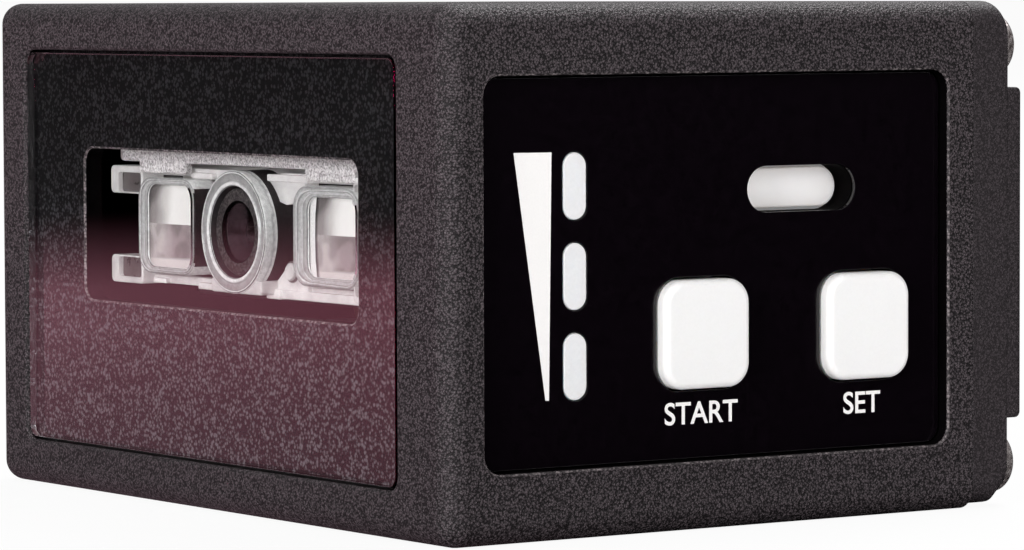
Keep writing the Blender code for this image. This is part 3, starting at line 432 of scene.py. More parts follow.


# Painted light and shade on the facets, by their own UV map, once across each block: above the step at half
# height, grey to white across, with a painted shade falling across the top left corner; below it, pale to a
# darker rose grey, with noise patches and a pale band at the foot; a painted dark line at the left of each
# block, and a bright bar on the left of the right one.
def paintedFacetFinish(tones):
    material, shader, place = newFinish("facetPaintedLight", rough=0.4, specular=0.3)
    spread = newNode(shader.id_data, "UVMap")
    spread.uv_map = "facets"
    split = splitUp(spread.outputs["UV"])
    wave = times(noise(place, 0.5, 1.0), 0.3)
    across = plus(split["X"], minus(wave, 0.15))
    paintedSlantShade = plus(times(minus(1.0, split["Y"]), 1.5), across)
    upper = blend("MULTIPLY", 1.0, ramp(across, tones["upper"]), ramp(paintedSlantShade, tones["paintedSlantShade"]))
    patches = ramp(noise(place, 0.9, 1.0, 0.4), tones["patches"])
    lower = blend("MULTIPLY", 1.0, ramp(across, tones["lower"]), patches)
    lower = blend("LIGHTEN", 1.0, lower, ramp(split["Y"], tones["foot"]))
    tone = blend("MIX", mathNode("GREATER_THAN", split["Y"], tones["step"]), lower, upper)
    tone = blend("MULTIPLY", 1.0, tone, ramp(split["X"], tones["gap"]))
    tone = blend("LIGHTEN", 1.0, tone, ramp(plus(split["X"], 1.0), tones["bar"]))
    toneAndPaintedGlow(shader, tone, tones["glow"])
    return material


# Gives a shader its tone, and a little painted glow in the same tone, though the piece is no lamp.
def toneAndPaintedGlow(shader, tone, glow):
    link(tone, shader.inputs["Base Color"])
    link(tone, shader.inputs["Emission Color"])
    setSockets(shader, {"glow": glow})


# Painted highlights and shade in bands that follow the mesh's own "band" value, a little broken up by noise:
# bright lines on grey, with a little painted glow.
def paintedBandFinish(name, stops, low, high, **values):
    material, shader, place = newFinish(name, **values)
    mark = newNode(shader.id_data, "Attribute")
    mark.attribute_name = "band"
    wave = times(minus(noise(place, 1.4, 3.0), 0.5), 0.05)
    share = over(minus(mark.outputs["Fac"], low), high - low)
    tone = ramp(plus(share, wave), [((at - low) / (high - low), tone) for at, tone in stops])
    tone = blend("MULTIPLY", 1.0, tone, ramp(noise(place, 4.0, 4.0, 0.7), [(0.35, 0.72), (0.6, 1.0)]))
    toneAndPaintedGlow(shader, tone, 0.09)
    bump(shader, tone, 0.03)
    return material


finishes = {
    "casing": erodedFinish(
        "casingGrain", (0.0075, 0.0052, 0.0063), (0.087, 0.069, 0.077), 7.4, 0.05, (0.62, 0.36), (0.34, 0.9),
        specular=0.35,
    ),
    "ledge": floorLitSpeckFinish(
        "ledgeGrainFloorLit", (0.0022, 0.0014, 0.0020), (0.037, 0.036, 0.039), 4.2, 0.008, (0.7, 0.4),
        specular=0.12,
    ),
    "cover": erodedFinish(
        "coverGrain", (0.017, 0.013, 0.0148), (0.050, 0.040, 0.045), 7.4, 0.02, (0.6, 0.45), (0.36, 0.86),
        specular=0.3,
    ),
    # a paler grain on the panel recess's rounded lip: a painted highlight
    "lip": erodedFinish(
        "recessLipHighlight", (0.02, 0.015, 0.017), (0.19, 0.16, 0.165), 5.0, 0.02, (0.6, 0.3), (0.36, 0.9)
    ),
    "film": plainFinish("filmGloss", (0.0022, 0.0010, 0.0022), 0.16, 1.5, 0.0012, 0.2),
    "print": plainFinish("whiteInk", (0.85, 0.83, 0.82), 0.5, 9.0, 0.002, 0.02),
    "key": plainFinish("keyWhite", (0.85, 0.82, 0.81), 0.42, 7.0, 0.003, 0.015, soft=0.05),
    "diffuser": plainFinish("diffuserWhite", (0.84, 0.80, 0.79), 0.5, 6.0, 0.008, 0.03, soft=0.15),
    # the pipe's glow is painted light: it is no lamp, and the glow keeps it bright where it sits sunk in
    # shade
    "pipe": plainFinish(
        "pipePaintedGlow", (0.97, 0.94, 0.93), 0.5, 2.0, 0.008, 0.03, soft=0.1, glow=0.1,
        glowColour=(1.0, 0.97, 0.96),
    ),
    "screw": grainFinish(
        "platedSteel", (0.10, 0.07, 0.07), (0.95, 0.86, 0.85), 2.6, 0.05, (0.42, 0.2), (0.45, 0.9), metal=0.8
    ),
    # a painted highlight for the film's cut border
    "filmEdge": plainFinish("filmCutHighlight", (0.11, 0.105, 0.11), 0.35, 3.0, 0.002, 0.2),
    "cast": grainFinish(
        "castSkin", (0.30, 0.28, 0.285), (1.0, 0.97, 0.98), 7.5, 0.04, (0.6, 0.4), (0.52, 0.88)
    ),
    # painted shade: a near-black cast for the parts of the engine that sit in shadow
    "blackened": plainFinish("castShade", (0.03, 0.025, 0.027), 0.6, 5.0, 0.01, 0.3, specular=0.2),
    "clear": plainFinish("clearMoulding", (0.985, 0.98, 0.98), 0.04, 2.5, 0.002, 0.005, clear=1.0, ior=1.49),
    # a faint painted glow, though the moulding is no lamp
    "milky": plainFinish(
        "milkyMoulding", (0.88, 0.86, 0.86), 0.2, 1.2, 0.003, 0.12, clear=0.35, ior=1.49, glow=0.03,
        glowColour=(1.0, 0.97, 0.97)
    ),
    # painted highlights: bright lines at the rim's outer edge and at its steps, with painted grey between
    "rim": paintedBandFinish(
        "mouldingRim",
        [(0.0, 0.95), (0.07, 0.45), (0.22, 0.6), (0.29, 0.98), (0.34, 0.3), (0.4, 0.62), (0.55, 0.7),
         (0.6, 0.98), (0.66, 0.5), (0.88, 0.62), (0.93, 0.1), (0.97, 1.0)],
        0.0, 1.0, rough=0.14, clear=0.25, ior=1.49, coat=0.5,
    ),
    # painted highlights: bright arcs down the bore and at the edges of the face, and a bright outer side
    "ring": paintedBandFinish(
        "mouldingRing",
        [(-0.30, 0.01), (-0.22, 0.9), (-0.18, 0.03), (-0.12, 0.95), (-0.06, 0.02), (0.02, 0.9),
         (0.2, 0.95), (0.34, 0.42), (0.8, 0.32), (0.87, 1.0), (0.94, 0.08), (1.01, 1.0), (1.09, 1.0),
         (1.12, 0.6), (1.15, 1.0)],
        -0.4, 1.4, rough=0.16, clear=0.08, ior=1.49, coat=0.5,
    ),
    # painted shade for the floors of the ear pockets and the ring round the stud
    "pocket": plainFinish("mouldingPocketShade", (0.10, 0.088, 0.09), 0.3, 1.5, 0.003, 0.2),
    "facet": paintedFacetFinish(facetLightAndShade),
    # near black with almost no gloss: painted shade for walls and hollows that sit in shadow
    "wall": plainFinish("slotWallPaintedShade", (0.0012, 0.0008, 0.001), 0.7, 4.0, 0.002, 0.2, specular=0.03),
    # a paler grain on the slot's rounded edge: a painted highlight
    "edge": erodedFinish(
        "slotEdgeHighlight", (0.03, 0.024, 0.026), (0.34, 0.29, 0.3), 5.0, 0.02, (0.6, 0.3), (0.36, 0.9)
    ),
    "black": grainFinish(
        "holderGrain", (0.004, 0.003, 0.0035), (0.12, 0.10, 0.105), 5.0, 0.05, (0.6, 0.4), (0.72, 0.95)
    ),
    "barrel": grainFinish(
        "barrelGrain", (0.004, 0.003, 0.0035), (0.11, 0.10, 0.10), 8.0, 0.02, (0.6, 0.35), (0.6, 0.98)
    ),
    "glass": plainFinish(
        "lensFront", (0.9, 0.88, 0.89), 0.01, 1.0, 0.0002, 0.01, clear=1.0, ior=1.5, specular=0.25
    ),
    "lens": plainFinish("coatedLens", (0.02, 0.01, 0.02), 0.03, 1.0, 0.0005, 0.1, coat=1.0, coatRough=0.02),
    "rubber": plainFinish("bushRubber", (0.018, 0.017, 0.018), 0.75, 5.0, 0.01, 0.2),
    "brass": plainFinish("turnedBrass", (0.74, 0.53, 0.2), 0.28, 5.0, 0.006, 0.08, metal=1.0),
}
for clearName, tint in (("clear", (0.94, 0.93, 0.93)), ("milky", (0.8, 0.79, 0.79))):
    letThrough(finishes[clearName].node_tree.nodes["Principled BSDF"], tint)
print("finishes made,", len(finishes))


casing = {
    "width": 51.0,
    "height": 30.0,
    "seam": 17.3,
    "edge": 1.3,
    "windowRecess": (-21.8, 20.3, 2.85, 27.15),
    "windowCorner": 0.9,
    "windowRim": 0.28,
    "ledgeY": -18.4,
    "backOfLedgeY": -17.2,
    "viewSlot": (-15.75, 15.15, 11.85, 21.15),
    "viewCorner": 0.95,
    "viewRim": 0.12,
    "cavity": (-23.7, 22.6, 1.6, 28.4),
    "cavityCorner": 0.8,
    "panelRecess": (-17.5, 15.4, 4.0, 26.0),
    "panelCorner": 1.1,
    "panelRim": 0.16,
    "panelFloor": 24.4,
    "insertX": 14.0,
    "insertHole": 2.15,
    "insertDepth": 4.1,
}


# The housing as one closed strip of rings: along the outside from the seam to the front, over the rounded
# front edge, in to the window recess and the view slot, and back inside along the cavity to the seam.
def casingRings(size):
    halfWidth, height, edge = size["width"] / 2, size["height"], size["edge"]
    seam = size["seam"]

    def outer(inset, depth):
        return (-halfWidth + inset, halfWidth - inset, inset, height - inset, edge - inset, depth)

    def opening(box, corner, grow, depth):
        left, right, low, high = box
        return (left - grow, right + grow, low - grow, high + grow, corner + grow, depth)

    rows = [outer(0.03, seam), outer(0, seam - 0.03)]
    rows += [outer(x, frontY + edge - z) for x, z in arc((edge, 0), edge, 180, 90, 12)]
    rim = size["windowRim"]
    box, corner = size["windowRecess"], size["windowCorner"]
    rows += [opening(box, corner, rim - x, frontY + rim - z) for x, z in arc((0, 0), rim, 90, 0, 6)]
    rows.append(opening(box, corner, 0, size["ledgeY"]))
    rim = size["viewRim"]
    box, corner = size["viewSlot"], size["viewCorner"]
    ledge = size["ledgeY"]
    rows += [opening(box, corner, rim - x, ledge + rim - z) for x, z in arc((0, 0), rim, 90, 0, 4)]
    rows.append(opening(box, corner, 0, size["backOfLedgeY"]))
    box, corner = size["cavity"], size["cavityCorner"]
    rows.append(opening(box, corner, 0, size["backOfLedgeY"]))
    rows.append(opening(box, corner, 0, seam))
    return rows


# Which points lie in a box, given as low and high for X, Y and Z.
def within(points, *spans):
    inside = [(points[:, axis] > low) & (points[:, axis] < high) for axis, (low, high) in enumerate(spans)]
    return np.all(inside, axis=0)


# An opening's box as two spans, grown all round.
def spansOf(box, grow):
    left, right, low, high = box
    return (left - grow, right + grow), (low - grow, high + grow)


def makeCasing(size):
    # a recess cutter flares out by the rim at the surface, so the cut leaves a rounded edge
    rim, outside, hair, beyond = size["panelRim"], size["width"] / 2, 0.02, 99.0
    flare = [(-(rim - x), outside - rim + z) for x, z in arc((0, 0), rim, 0, 90, 5)]
    profile = [(0, size["panelFloor"])] + flare + [(-rim, outside + 1)]
    tools = [outlineSolid(size["panelRecess"], size["panelCorner"], profile, "x")]
    tools += [outlineSolid(box, corner, [(0, 20), (0, 26)], "x") for box, corner in panelOpenings()]
    hole, depth = size["insertHole"], size["insertDepth"]
    mouth = [(0, -1), (hole + 0.15, -1), (hole + 0.15, 0), (hole, 0.15), (hole, depth), (0, depth)]
    for x in (-size["insertX"], size["insertX"]):
        tools.append(turnedSolid(mouth, (x, 0, 0), (0, 0, 1)))
    shell = ringSolid(casingRings(size), cornerSteps=10, loop=True)
    piece = addPiece("casing", [shell], "casing ledge edge wall lip", "housing", tools)
    # the faces of the ledge, the slot's edge with its painted highlight, the walls in painted shade and the
    # lip of the panel recess with its painted highlight, by place
    ledge, backOfLedge = size["ledgeY"], size["backOfLedgeY"]
    slotX, slotZ = spansOf(size["viewSlot"], size["viewRim"] + hair)
    lipY, lipZ = spansOf(size["panelRecess"], rim)
    deepY, deepZ = spansOf(size["panelRecess"], hair)
    wallX, wallZ = spansOf(size["windowRecess"], hair)
    ledgeFinish, edgeHighlightFinish, shadeFinish, lipHighlightFinish = range(1, 5)
    middles = faceMiddles(piece)
    kinds = np.zeros(len(middles))
    for kind, x, y, z in (
        (ledgeFinish, wallX, (ledge - hair, backOfLedge - hair), wallZ),
        (edgeHighlightFinish, slotX, (ledge - hair, beyond), slotZ),
        (shadeFinish, slotX, (ledge + size["viewRim"], beyond), slotZ),
        (shadeFinish, (-24.0, 24.0), (backOfLedge - hair, beyond), (1.5, 28.5)),
        (lipHighlightFinish, (outside - 0.09, outside - 0.004), lipY, lipZ),
        (shadeFinish, (size["panelFloor"] - hair, outside - rim), deepY, deepZ),
        (shadeFinish, wallX, (frontY + size["windowRim"], ledge - hair), wallZ),
    ):
        kinds[within(middles, x, y, z)] = kind
    finishFaces(piece, kinds)


panel = {
    "keys": {"left": (-5.15, 0.9), "right": (6.55, 12.6)},
    "keyZ": (8.1, 14.3),
    "keyCorner": 1.4,
    "keyGap": 0.15,
    "status": (1.18, 9.03, 17.96, 20.62),
    "pillY": (-11.69, -10.11),
    "pillZ": (9.7, 14.75, 19.8),
    "pillHalf": 1.885,
    "pillGap": 0.06,
}


# Boxes and corner radii of the openings: for the keys and the level lights with a gap all round.
def panelOpenings():
    gap = panel["keyGap"]
    lowZ, highZ = panel["keyZ"]
    found = [
        ((left - gap, right + gap, lowZ - gap, highZ + gap), panel["keyCorner"] + gap)
        for left, right in panel["keys"].values()
    ]
    low, high = panel["status"][2:]
    found.append((panel["status"], (high - low) / 2))
    left, right = panel["pillY"]
    gap, half = panel["pillGap"], panel["pillHalf"]
    for middle in panel["pillZ"]:
        box = (left - gap, right + gap, middle - half - gap, middle + half + gap)
        found.append((box, (right - left) / 2 + gap))
    return found


makeCasing(casing)
print("casing made")


pane = {"box": (-21.65, 20.15, 3.0, 27.0), "corner": 0.75, "front": -19.9, "back": -18.55}


# The pane's gloss is plum, as an anti-reflection coat leaves it. Shadow rays pass, so light reaches inside.
def makePane(size):
    profile = easedProfile(size["back"], size["front"], 0.12, 4, 0.08)
    solid = outlineSolid(size["box"], size["corner"], profile, cornerSteps=10)
    finishes["pane"], shader = newFinish(
        "paneTint", colour=(0.87, 0.835, 0.84), rough=0.0, clear=1.0, ior=1.46, tint=(1.0, 0.0, 0.15)
    )[:2]
    letThrough(shader, (0.95, 0.93, 0.93))
    addPiece("frontPane", [solid], "pane", "window")


makePane(pane)
print("window made")


film = {"box": (-17.35, 15.25, 4.15, 25.85), "corner": 0.95, "back": 24.5, "front": 24.75, "edge": 0.03}


# A filled flat curve of closed outlines: one row of points (a, b) for each.
def flatCurve(name, outlines, thickness):
    curve = bpy.data.curves.new(name, "CURVE")
    curve.dimensions = "2D"
    curve.fill_mode = "BOTH"
    curve.extrude = thickness / 2
    for points in outlines:
        spline = curve.splines.new("POLY")
        spline.points.add(len(points) - 1)
        flat = np.column_stack([points, np.zeros(len(points)), np.ones(len(points))])
        spline.points.foreach_set("co", flat.ravel())
        spline.use_cyclic_u = True
    return curve


# Makes a flat curve a mesh, stands it up in the YZ plane at x, and brings it to metres.
def curveMesh(name, curve, x):
    holder = newObject(name, curve)
    mesh = finishedMesh(holder)
    bpy.data.objects.remove(holder)
    stand = Matrix(((0, 0, 1, x), (1, 0, 0, 0), (0, 1, 0, 0), (0, 0, 0, 1)))
    mesh.transform(Matrix.Scale(unit, 4) @ stand)
    return cleanMesh(mesh, 1e-6)


# The film is a flat outline with its openings, given a thickness and a small bevel.
def makeFilm(size):
    left, right, low, high = size["box"]
    edge, thickness = size["edge"], size["front"] - size["back"]
    outlines = [
        ringPoints(*box, corner, 10) for box, corner in [(size["box"], size["corner"])] + panelOpenings()
    ]
    curve = flatCurve("panelFilm", outlines, thickness - 2 * edge)
    curve.bevel_depth = edge
    curve.bevel_resolution = 2
    curve.offset = -edge
    mesh = curveMesh("panelFilm", curve, (size["front"] + size["back"]) / 2)
    piece = addPiece("panelFilm", mesh, "film filmEdge", "control_label", smooth=False)
    # the cut outer border, by its place, is paler: a painted highlight along the film's edge
    middles = faceMiddles(piece)
    across = np.abs(middles[:, 1] - (left + right) / 2) / (right - left)
    up = np.abs(middles[:, 2] - (low + high) / 2) / (high - low)
    finishFaces(piece, (middles[:, 0] < size["front"] - 0.003) & (np.maximum(across, up) > 0.47))


printed = {
    "wedge": [(-15.05, 21.73), (-12.49, 21.71), (-12.71, 7.88), (-12.95, 7.9)],
    "words": [("START", -2.15, 6.1), ("SET", 9.5, 6.1)],
    "wordHeight": 1.78,
    "wordGrows": 0.022,
    "thickness": 0.012,
}


# The level wedge is a four-sided outline, and the words are text, both a thin layer on the film.
def makePrint(size):
    thickness = size["thickness"]
    x = film["front"] + thickness / 2
    mesh = curveMesh("levelWedge", flatCurve("levelWedge", [size["wedge"]], thickness), x)
    addPiece("levelWedge", mesh, "print")
    for word, y, z in size["words"]:
        text = bpy.data.curves.new(word, "FONT")
        text.body = word
        text.size = size["wordHeight"]
        text.extrude = thickness / 2
        text.offset = size["wordGrows"]
        text.align_x = "CENTER"
        name = "word" + word.capitalize()
        mesh = curveMesh(name, text, x)
        mesh.transform(Matrix.Translation(Vector((0, y, z)) * unit))
        addPiece(name, mesh, "print")


key = {"front": 25.5, "shoulder": 21.8, "flangeBack": 21.2, "flangeFront": 22.3, "edge": 0.42, "rim": 0.65}


# A key: a rounded cap whose face is a little crowned, on a wider flange behind the film.
def makeKeys(size):
    edge, front, rim, corner = size["edge"], size["front"], size["rim"], panel["keyCorner"]
    lowZ, highZ = panel["keyZ"]
    face = [(x, front - edge + z) for x, z in arc((edge, 0), edge, 180, 90, 8)]
    face[-1] = (face[-1][0], front - 0.012)
    profile = [(0, size["shoulder"])] + face + [(1.1, front - 0.004), (2.2, front)]
    for side, (left, right) in panel["keys"].items():
        cap = outlineSolid((left, right, lowZ, highZ), corner, profile, "x", 10)
        low = (size["flangeBack"], left - rim, lowZ - rim)
        high = (size["flangeFront"], right + rim, highZ + rim)
        solids = [cap, easedBlock(low, high, "x", corner=corner, edge=0.1)]
        addPiece(side + "Key", solids, "key", side + "_button", body=side + "_key")


guide = {
    "status": (1.33, 8.88, 18.11, 20.47),
    "statusFront": 23.1,
    "back": 19.3,
    "flange": 22.3,
    "stemBack": 21.0,
    "border": 0.7,
}


# A light guide: a stem for each opening, with half-round ends, on one flange behind the film.
def makeGuides(size):
    def flange(box, corner):
        (left, right), (low, high) = spansOf(box, size["border"])
        return easedBlock(
            (size["back"], left, low), (size["flange"], right, high), "x", corner=corner, edge=0.1
        )

    def stem(box, front, edge):
        radius = min(box[1] - box[0], box[3] - box[2]) / 2
        return outlineSolid(box, radius, easedProfile(size["stemBack"], front, edge, 3), "x", 10)

    solids = [stem(size["status"], size["statusFront"], 0.15), flange(size["status"], 1.2)]
    addPiece("statusLight", solids, "pipe", "status_light_pipe")
    left, right = panel["pillY"]
    middles, half = panel["pillZ"], panel["pillHalf"]
    solids = [flange((left, right, middles[0] - half, middles[-1] + half), 0.7)]
    for middle in middles:
        solids.append(stem((left, right, middle - half, middle + half), film["front"] + 0.02, 0.1))
    addPiece("levelLights", solids, "diffuser", "level_light_guide")


makeFilm(film)
makePrint(printed)
makeKeys(key)
makeGuides(guide)
print("control panel made")


rear = {
    "front": 17.45,
    "ledge": 20.0,
    "lift": 0.25,
    "topRound": 1.1,
    "lowChamfer": 0.9,
    "barBack": 21.05,
    "bar": (-25.5, 25.5, 5.3, 24.9),
    "barEdge": 0.45,
    "inletX": -11.985,
    "inletZ": 15.1,
    "inletHole": 3.95,
    "screwHole": 1.15,
    "screws": [(-23.2, 2.6), (23.2, 2.6), (-23.2, 27.4), (23.2, 27.4)],
}


# The cover plate as rings along Y: its top follows a quarter circle and its foot a chamfer near the ledge,
# then the rings close in to the round cable hole and run back through the plate. The bar is made alike.
def makeCover(size):
    half, corner, seam = casing["width"] / 2, casing["edge"], casing["seam"]
    top, foot, ledge, hole = casing["height"], size["lift"], size["ledge"], size["inletHole"]
    x, z = size["inletX"], size["inletZ"]
    holeBox = (x - hole, x + hole, z - hole, z + hole, hole)
    rows = [
        (-half + 0.03, half - 0.03, foot + 0.03, top - 0.03, corner - 0.03, seam + 0.01),
        (-half, half, foot, top, corner, seam + 0.04),
    ]
    for share in np.linspace(0, 1, 9):
        angle = share * math.pi / 2
        depth = ledge - size["topRound"] * (1 - math.sin(angle))
        topInset = size["topRound"] * (1 - math.cos(angle))
        lowInset = max(0.0, size["lowChamfer"] - (ledge - depth))
        side = 0.15 * max(0.0, share * 4 - 3)
        rows.append((-half + side, half - side, foot + lowInset, top - topInset, corner, depth))
    rows += [(*holeBox, ledge), (*holeBox, size["front"])]
    plate = ringSolid(rows, cornerSteps=10, loop=True)
    left, right, low, high = size["bar"]
    edge, back, inside = size["barEdge"], size["barBack"], ledge - 0.1
    rows = [(left, right, low, high, 0.1, inside)]
    rows += [
        (left + x * 0.5, right - x * 0.5, low + x, high - x, 0.1, back - edge + z)
        for x, z in arc((edge, 0), edge, 180, 90, 6)
    ]
    rows += [(*holeBox, back), (*holeBox, inside)]
    bar = ringSolid(rows, cornerSteps=10, loop=True)
    bore = [(0, -4), (size["screwHole"], -4), (size["screwHole"], 4), (0, 4)]
    tools = [turnedSolid(bore, (x, ledge, z), (0, 1, 0), 32) for x, z in size["screws"]]
    addPiece("backCover", [plate], "cover", "rear_cover", tools)
    addPiece("backCoverBar", [bar], "cover")


screwShape = {
    "head": 1.9,
    "height": 0.95,
    "shank": 1.0,
    "length": 8.0,
    "seat": 0.12,
    "roll": 0.6,
    "recess": 0.62,
    "slot": (0.95, 0.17),
}


# A pan head: a flat top that rolls over on an arc to its side, with a cross recess of two tapered slots.
def makeScrews(size):
    head, height, roll, length = size["head"], size["height"], size["roll"], size["length"]
    profile = [(0, height), (head - 1.1, height)]
    profile += [(head - roll + x, height - roll + z) for x, z in arc((0, 0), roll, 78, 0, 8)]
    profile += [(head, 0.0), (size["shank"], 0.0), (size["shank"], -length + 0.6)]
    profile += [(0.5, -length), (0, -length)]
    for index, (x, z) in enumerate(rear["screws"], 1):
        foot = (x, rear["ledge"] + size["seat"], z)
        outside = foot[1] + height
        tools = []
        for wide, tall in (size["slot"], size["slot"][::-1]):
            rows = [
                (x - a, x + a, z - b, z + b, radius, depth)
                for a, b, radius, depth in (
                    (wide * 0.45, tall * 0.45, 0.02, outside - size["recess"]),
                    (wide, tall, 0.05, outside + 0.1),
                )
            ]
            tools.append(ringSolid(rows, cornerSteps=3))
        solid = turnedSolid(profile, foot, (0, 1, 0), 56)
        addPiece(f"coverScrew{index}", [solid], "screw", f"rear_screw_{index}", tools)


bush = {
    "bore": 2.95,
    "neck": 3.8,
    "flange": 4.8,
    "flangeThickness": 0.9,
    "outside": 21.2,
    "inside": 17.3,
    "roll": 0.45,
    "flare": 0.25,
}


# The bush is turned: a flange on each side of the cover, its outer edge on an arc, and a bore that flares.
def makeBush(size):
    bore, neck, flange, thick = size["bore"], size["neck"], size["flange"], size["flangeThickness"]
    roll, flare, length = size["roll"], size["flare"], size["outside"] - size["inside"]
    profile = [(bore + flare, thick)]
    profile += [(flange - roll + x, thick - roll + z) for x, z in arc((0, 0), roll, 90, 0, 6)]
    profile += [(flange, 0), (neck, 0), (neck, -length), (flange, -length), (flange, -length - thick)]
    profile += [(bore, -length - thick), (bore, thick - flare)]
    profile += [(bore + flare - x, thick - flare + z) for x, z in arc((0, 0), flare, 20, 70, 3)]
    solid = turnedSolid(profile, (rear["inletX"], size["outside"], rear["inletZ"]), (0, 1, 0), 64, True)
    addPiece("cableBush", [solid], "rubber", "cable_inlet")


insert = {
    "radius": 2.0,
    "bore": 1.25,
    "foot": 0.2,
    "length": 3.6,
    "threads": 9,
    "threadDepth": 0.18,
    "chamfer": 0.1,
    "waist": (1.35, 1.5, 2.1, 2.25),
    "waistDepth": 0.15,
}


# A turned insert: the bore's wall rises and falls as a cosine, once for each thread, and the outside has
# a waist.
def makeInserts(size):
    radius, bore, length, chamfer = size["radius"], size["bore"], size["length"], size["chamfer"]
    steps, narrow = size["threads"] * 4 + 1, radius - size["waistDepth"]
    threads = bore + size["threadDepth"] / 2 * (1 + np.cos(np.arange(steps) * math.pi / 2))
    profile = [(bore + 0.3, 0), (radius - chamfer, 0), (radius, chamfer)]
    profile += list(zip((radius, narrow, narrow, radius), size["waist"]))
    profile += [(radius, length - chamfer), (radius - chamfer, length), (bore + 0.25, length)]
    profile += list(zip(threads, np.linspace(length - 0.2, 0.25, steps)))
    for index, x in enumerate((-casing["insertX"], casing["insertX"]), 1):
        solid = turnedSolid(profile, (x, 0, size["foot"]), (0, 0, 1), 48, True)
        addPiece(f"brassInsert{index}", [solid], "brass", f"mounting_insert_{index}")


makeCover(rear)
makeScrews(screwShape)
makeBush(bush)
makeInserts(insert)
print("rear and base made")


engine = {
    "plate": (-15.0, 15.0, 20.35, 21.95),
    "front": -16.5,
    "back": -6.4,
    "lip": (6.8, 12.15, 19.7),
    "cheekFront": -14.5,
    "cheekFoot": 12.75,
    "bar": (-10.83, -8.43, 11.95, 13.05),
}


# A block of the engine, from X, Y and Z from its axis; its X runs outwards on the side given, if one is.
def engineBlock(near, far, front, back, low, high, side=1, axis="y", corner=0.2, edge=0.12):
    left, right = sorted((side * near, side * far))
    start, end = (engineX + left, front, low), (engineX + right, back, high)
    return easedBlock(start, end, axis, corner, edge)


# A piece turned about the engine's axis.
def engineTurned(profile, steps, loop=False):
    return turnedSolid(profile, (engineX, 0, engineZ), (0, 1, 0), steps, loop)


def makeEngineFrame(size):
    left, right, low, high = size["plate"]
    front, back = size["front"], size["back"]
    solids = [engineBlock(left, right, front, back, low, high, axis="z", corner=1.0, edge=0.22)]
    inner, outer, drop = size["lip"]
    for side in (-1, 1):
        solids += [
            engineBlock(inner, outer, front + 0.02, front + 0.7, drop, low + 0.4, side, "z"),
            engineBlock(
                right, right - 1.0, size["cheekFront"], back - 1.0, size["cheekFoot"], low + 0.5, side, "z"
            ),
        ]
    solids.append(engineBlock(left + 0.3, right - 0.3, *size["bar"], axis="x"))
    piece = addPiece("castFrame", solids, "cast blackened", "engine_frame")
    # the frame below its plate takes painted shade
    finishFaces(piece, faceMiddles(piece)[:, 2] < low - 0.75)


moulding = {
    "plateY": (-15.6, -14.8),
    "plateZ": (12.95, 20.05),
    "half": 12.6,
    "gapZ": (13.45, 19.55),
    "railInner": 2.8,
    "block": (5.6, 12.15, 13.575, 19.425),
    "blockFront": -16.6,
    "blockEdge": 0.22,
    "blockCorner": 1.3,
    # widths of the rim round each lens: left, right, low and high
    "rims": {-1: (1.25, 0.12, 0.45, 0.4), 1: (1.75, 0.06, 0.6, 0.62)},
    "rightGrows": 0.5,
    "earX": (11.85, 15.7),
    "earBorder": 0.95,
    "earFront": -16.4,
    "earHeight": 1.7,
    "earPocket": 0.3,
    "pillow": 0.16,
    # the rim in steps: share of the way in, and how far sunk
    "rimSteps": [(0.34, 0.0), (0.38, 0.06), (0.62, 0.06), (0.66, 0.02), (0.93, 0.02), (1.0, 0.1)],
    # how far the facets stay from the block's left and right sides, and the bright bar of the right one
    "facetEnds": {-1: (0.85, 0.5), 1: (1.6, 0.1)},
    "facetInset": 0.42,
    "facetBar": 0.72,
    "facetPeak": -16.32,
    "facetAcross": 0.07,
    "facetUp": 0.05,
    "collar": (2.73, 3.65, -17.2),
    "collarFace": 0.85,
    # the collar's face from its bore: how far out, and how far sunk
    "collarSteps": [(0, 0.14), (0.06, 0.04), (0.14, 0), (0.26, 0), (0.36, 0.07), (0.68, 0.07), (0.76, 0)],
    "collarFoot": (-2.75, 2.9, 12.86, 13.7, -17.05),
    # bars and pads beside the collar: inner and outer X, low and high Z, how proud of the plate
    "pads": {
        -1: [(4.4, 6.8, 19.45, 19.81, 0.35), (4.1, 6.1, 12.8, 13.2, 0.35), (9.9, 11.4, 12.96, 13.26, 0.35)],
        1: [(1.9, 6.35, 19.54, 19.97, 0.4), (1.94, 12.5, 12.66, 13.2, 0.35), (1.94, 3.5, 12.62, 13.22, 0.5)],
    },
    # the webs on the right of the collar, as outlines in X and Z
    "webs": [
        [(1.8, 19.6), (5.9, 19.6), (5.9, 18.5), (3.9, 18.2), (2.5, 18.5)],
        [(2.2, 13.2), (3.9, 14.55), (4.6, 14.75), (6.2, 14.75), (6.2, 13.2)],
    ],
    "stud": (4.52, 14.3, 0.52, 0.34),
}


# Signed distance to a rounded box in X and Z: the length outside the corners' centre box, less the radius.
def boxDistance(x, z, box, radius):
    left, right, low, high = box
    a = abs(x - (left + right) / 2) - (right - left) / 2 + radius
    b = abs(z - (low + high) / 2) - (high - low) / 2 + radius
    outside = np.hypot(np.maximum(a, 0), np.maximum(b, 0))
    return outside + np.minimum(np.maximum(a, b), 0) - radius


def markBand(piece, values):
    piece.data.attributes.new("band", "FLOAT", "POINT").data.foreach_set("value", values.astype(np.float32))


# The points of a piece, in millimetres.
def pointsOf(piece):
    points = np.zeros(len(piece.data.vertices) * 3)
    piece.data.vertices.foreach_get("co", points)
    return points.reshape(-1, 3) / unit


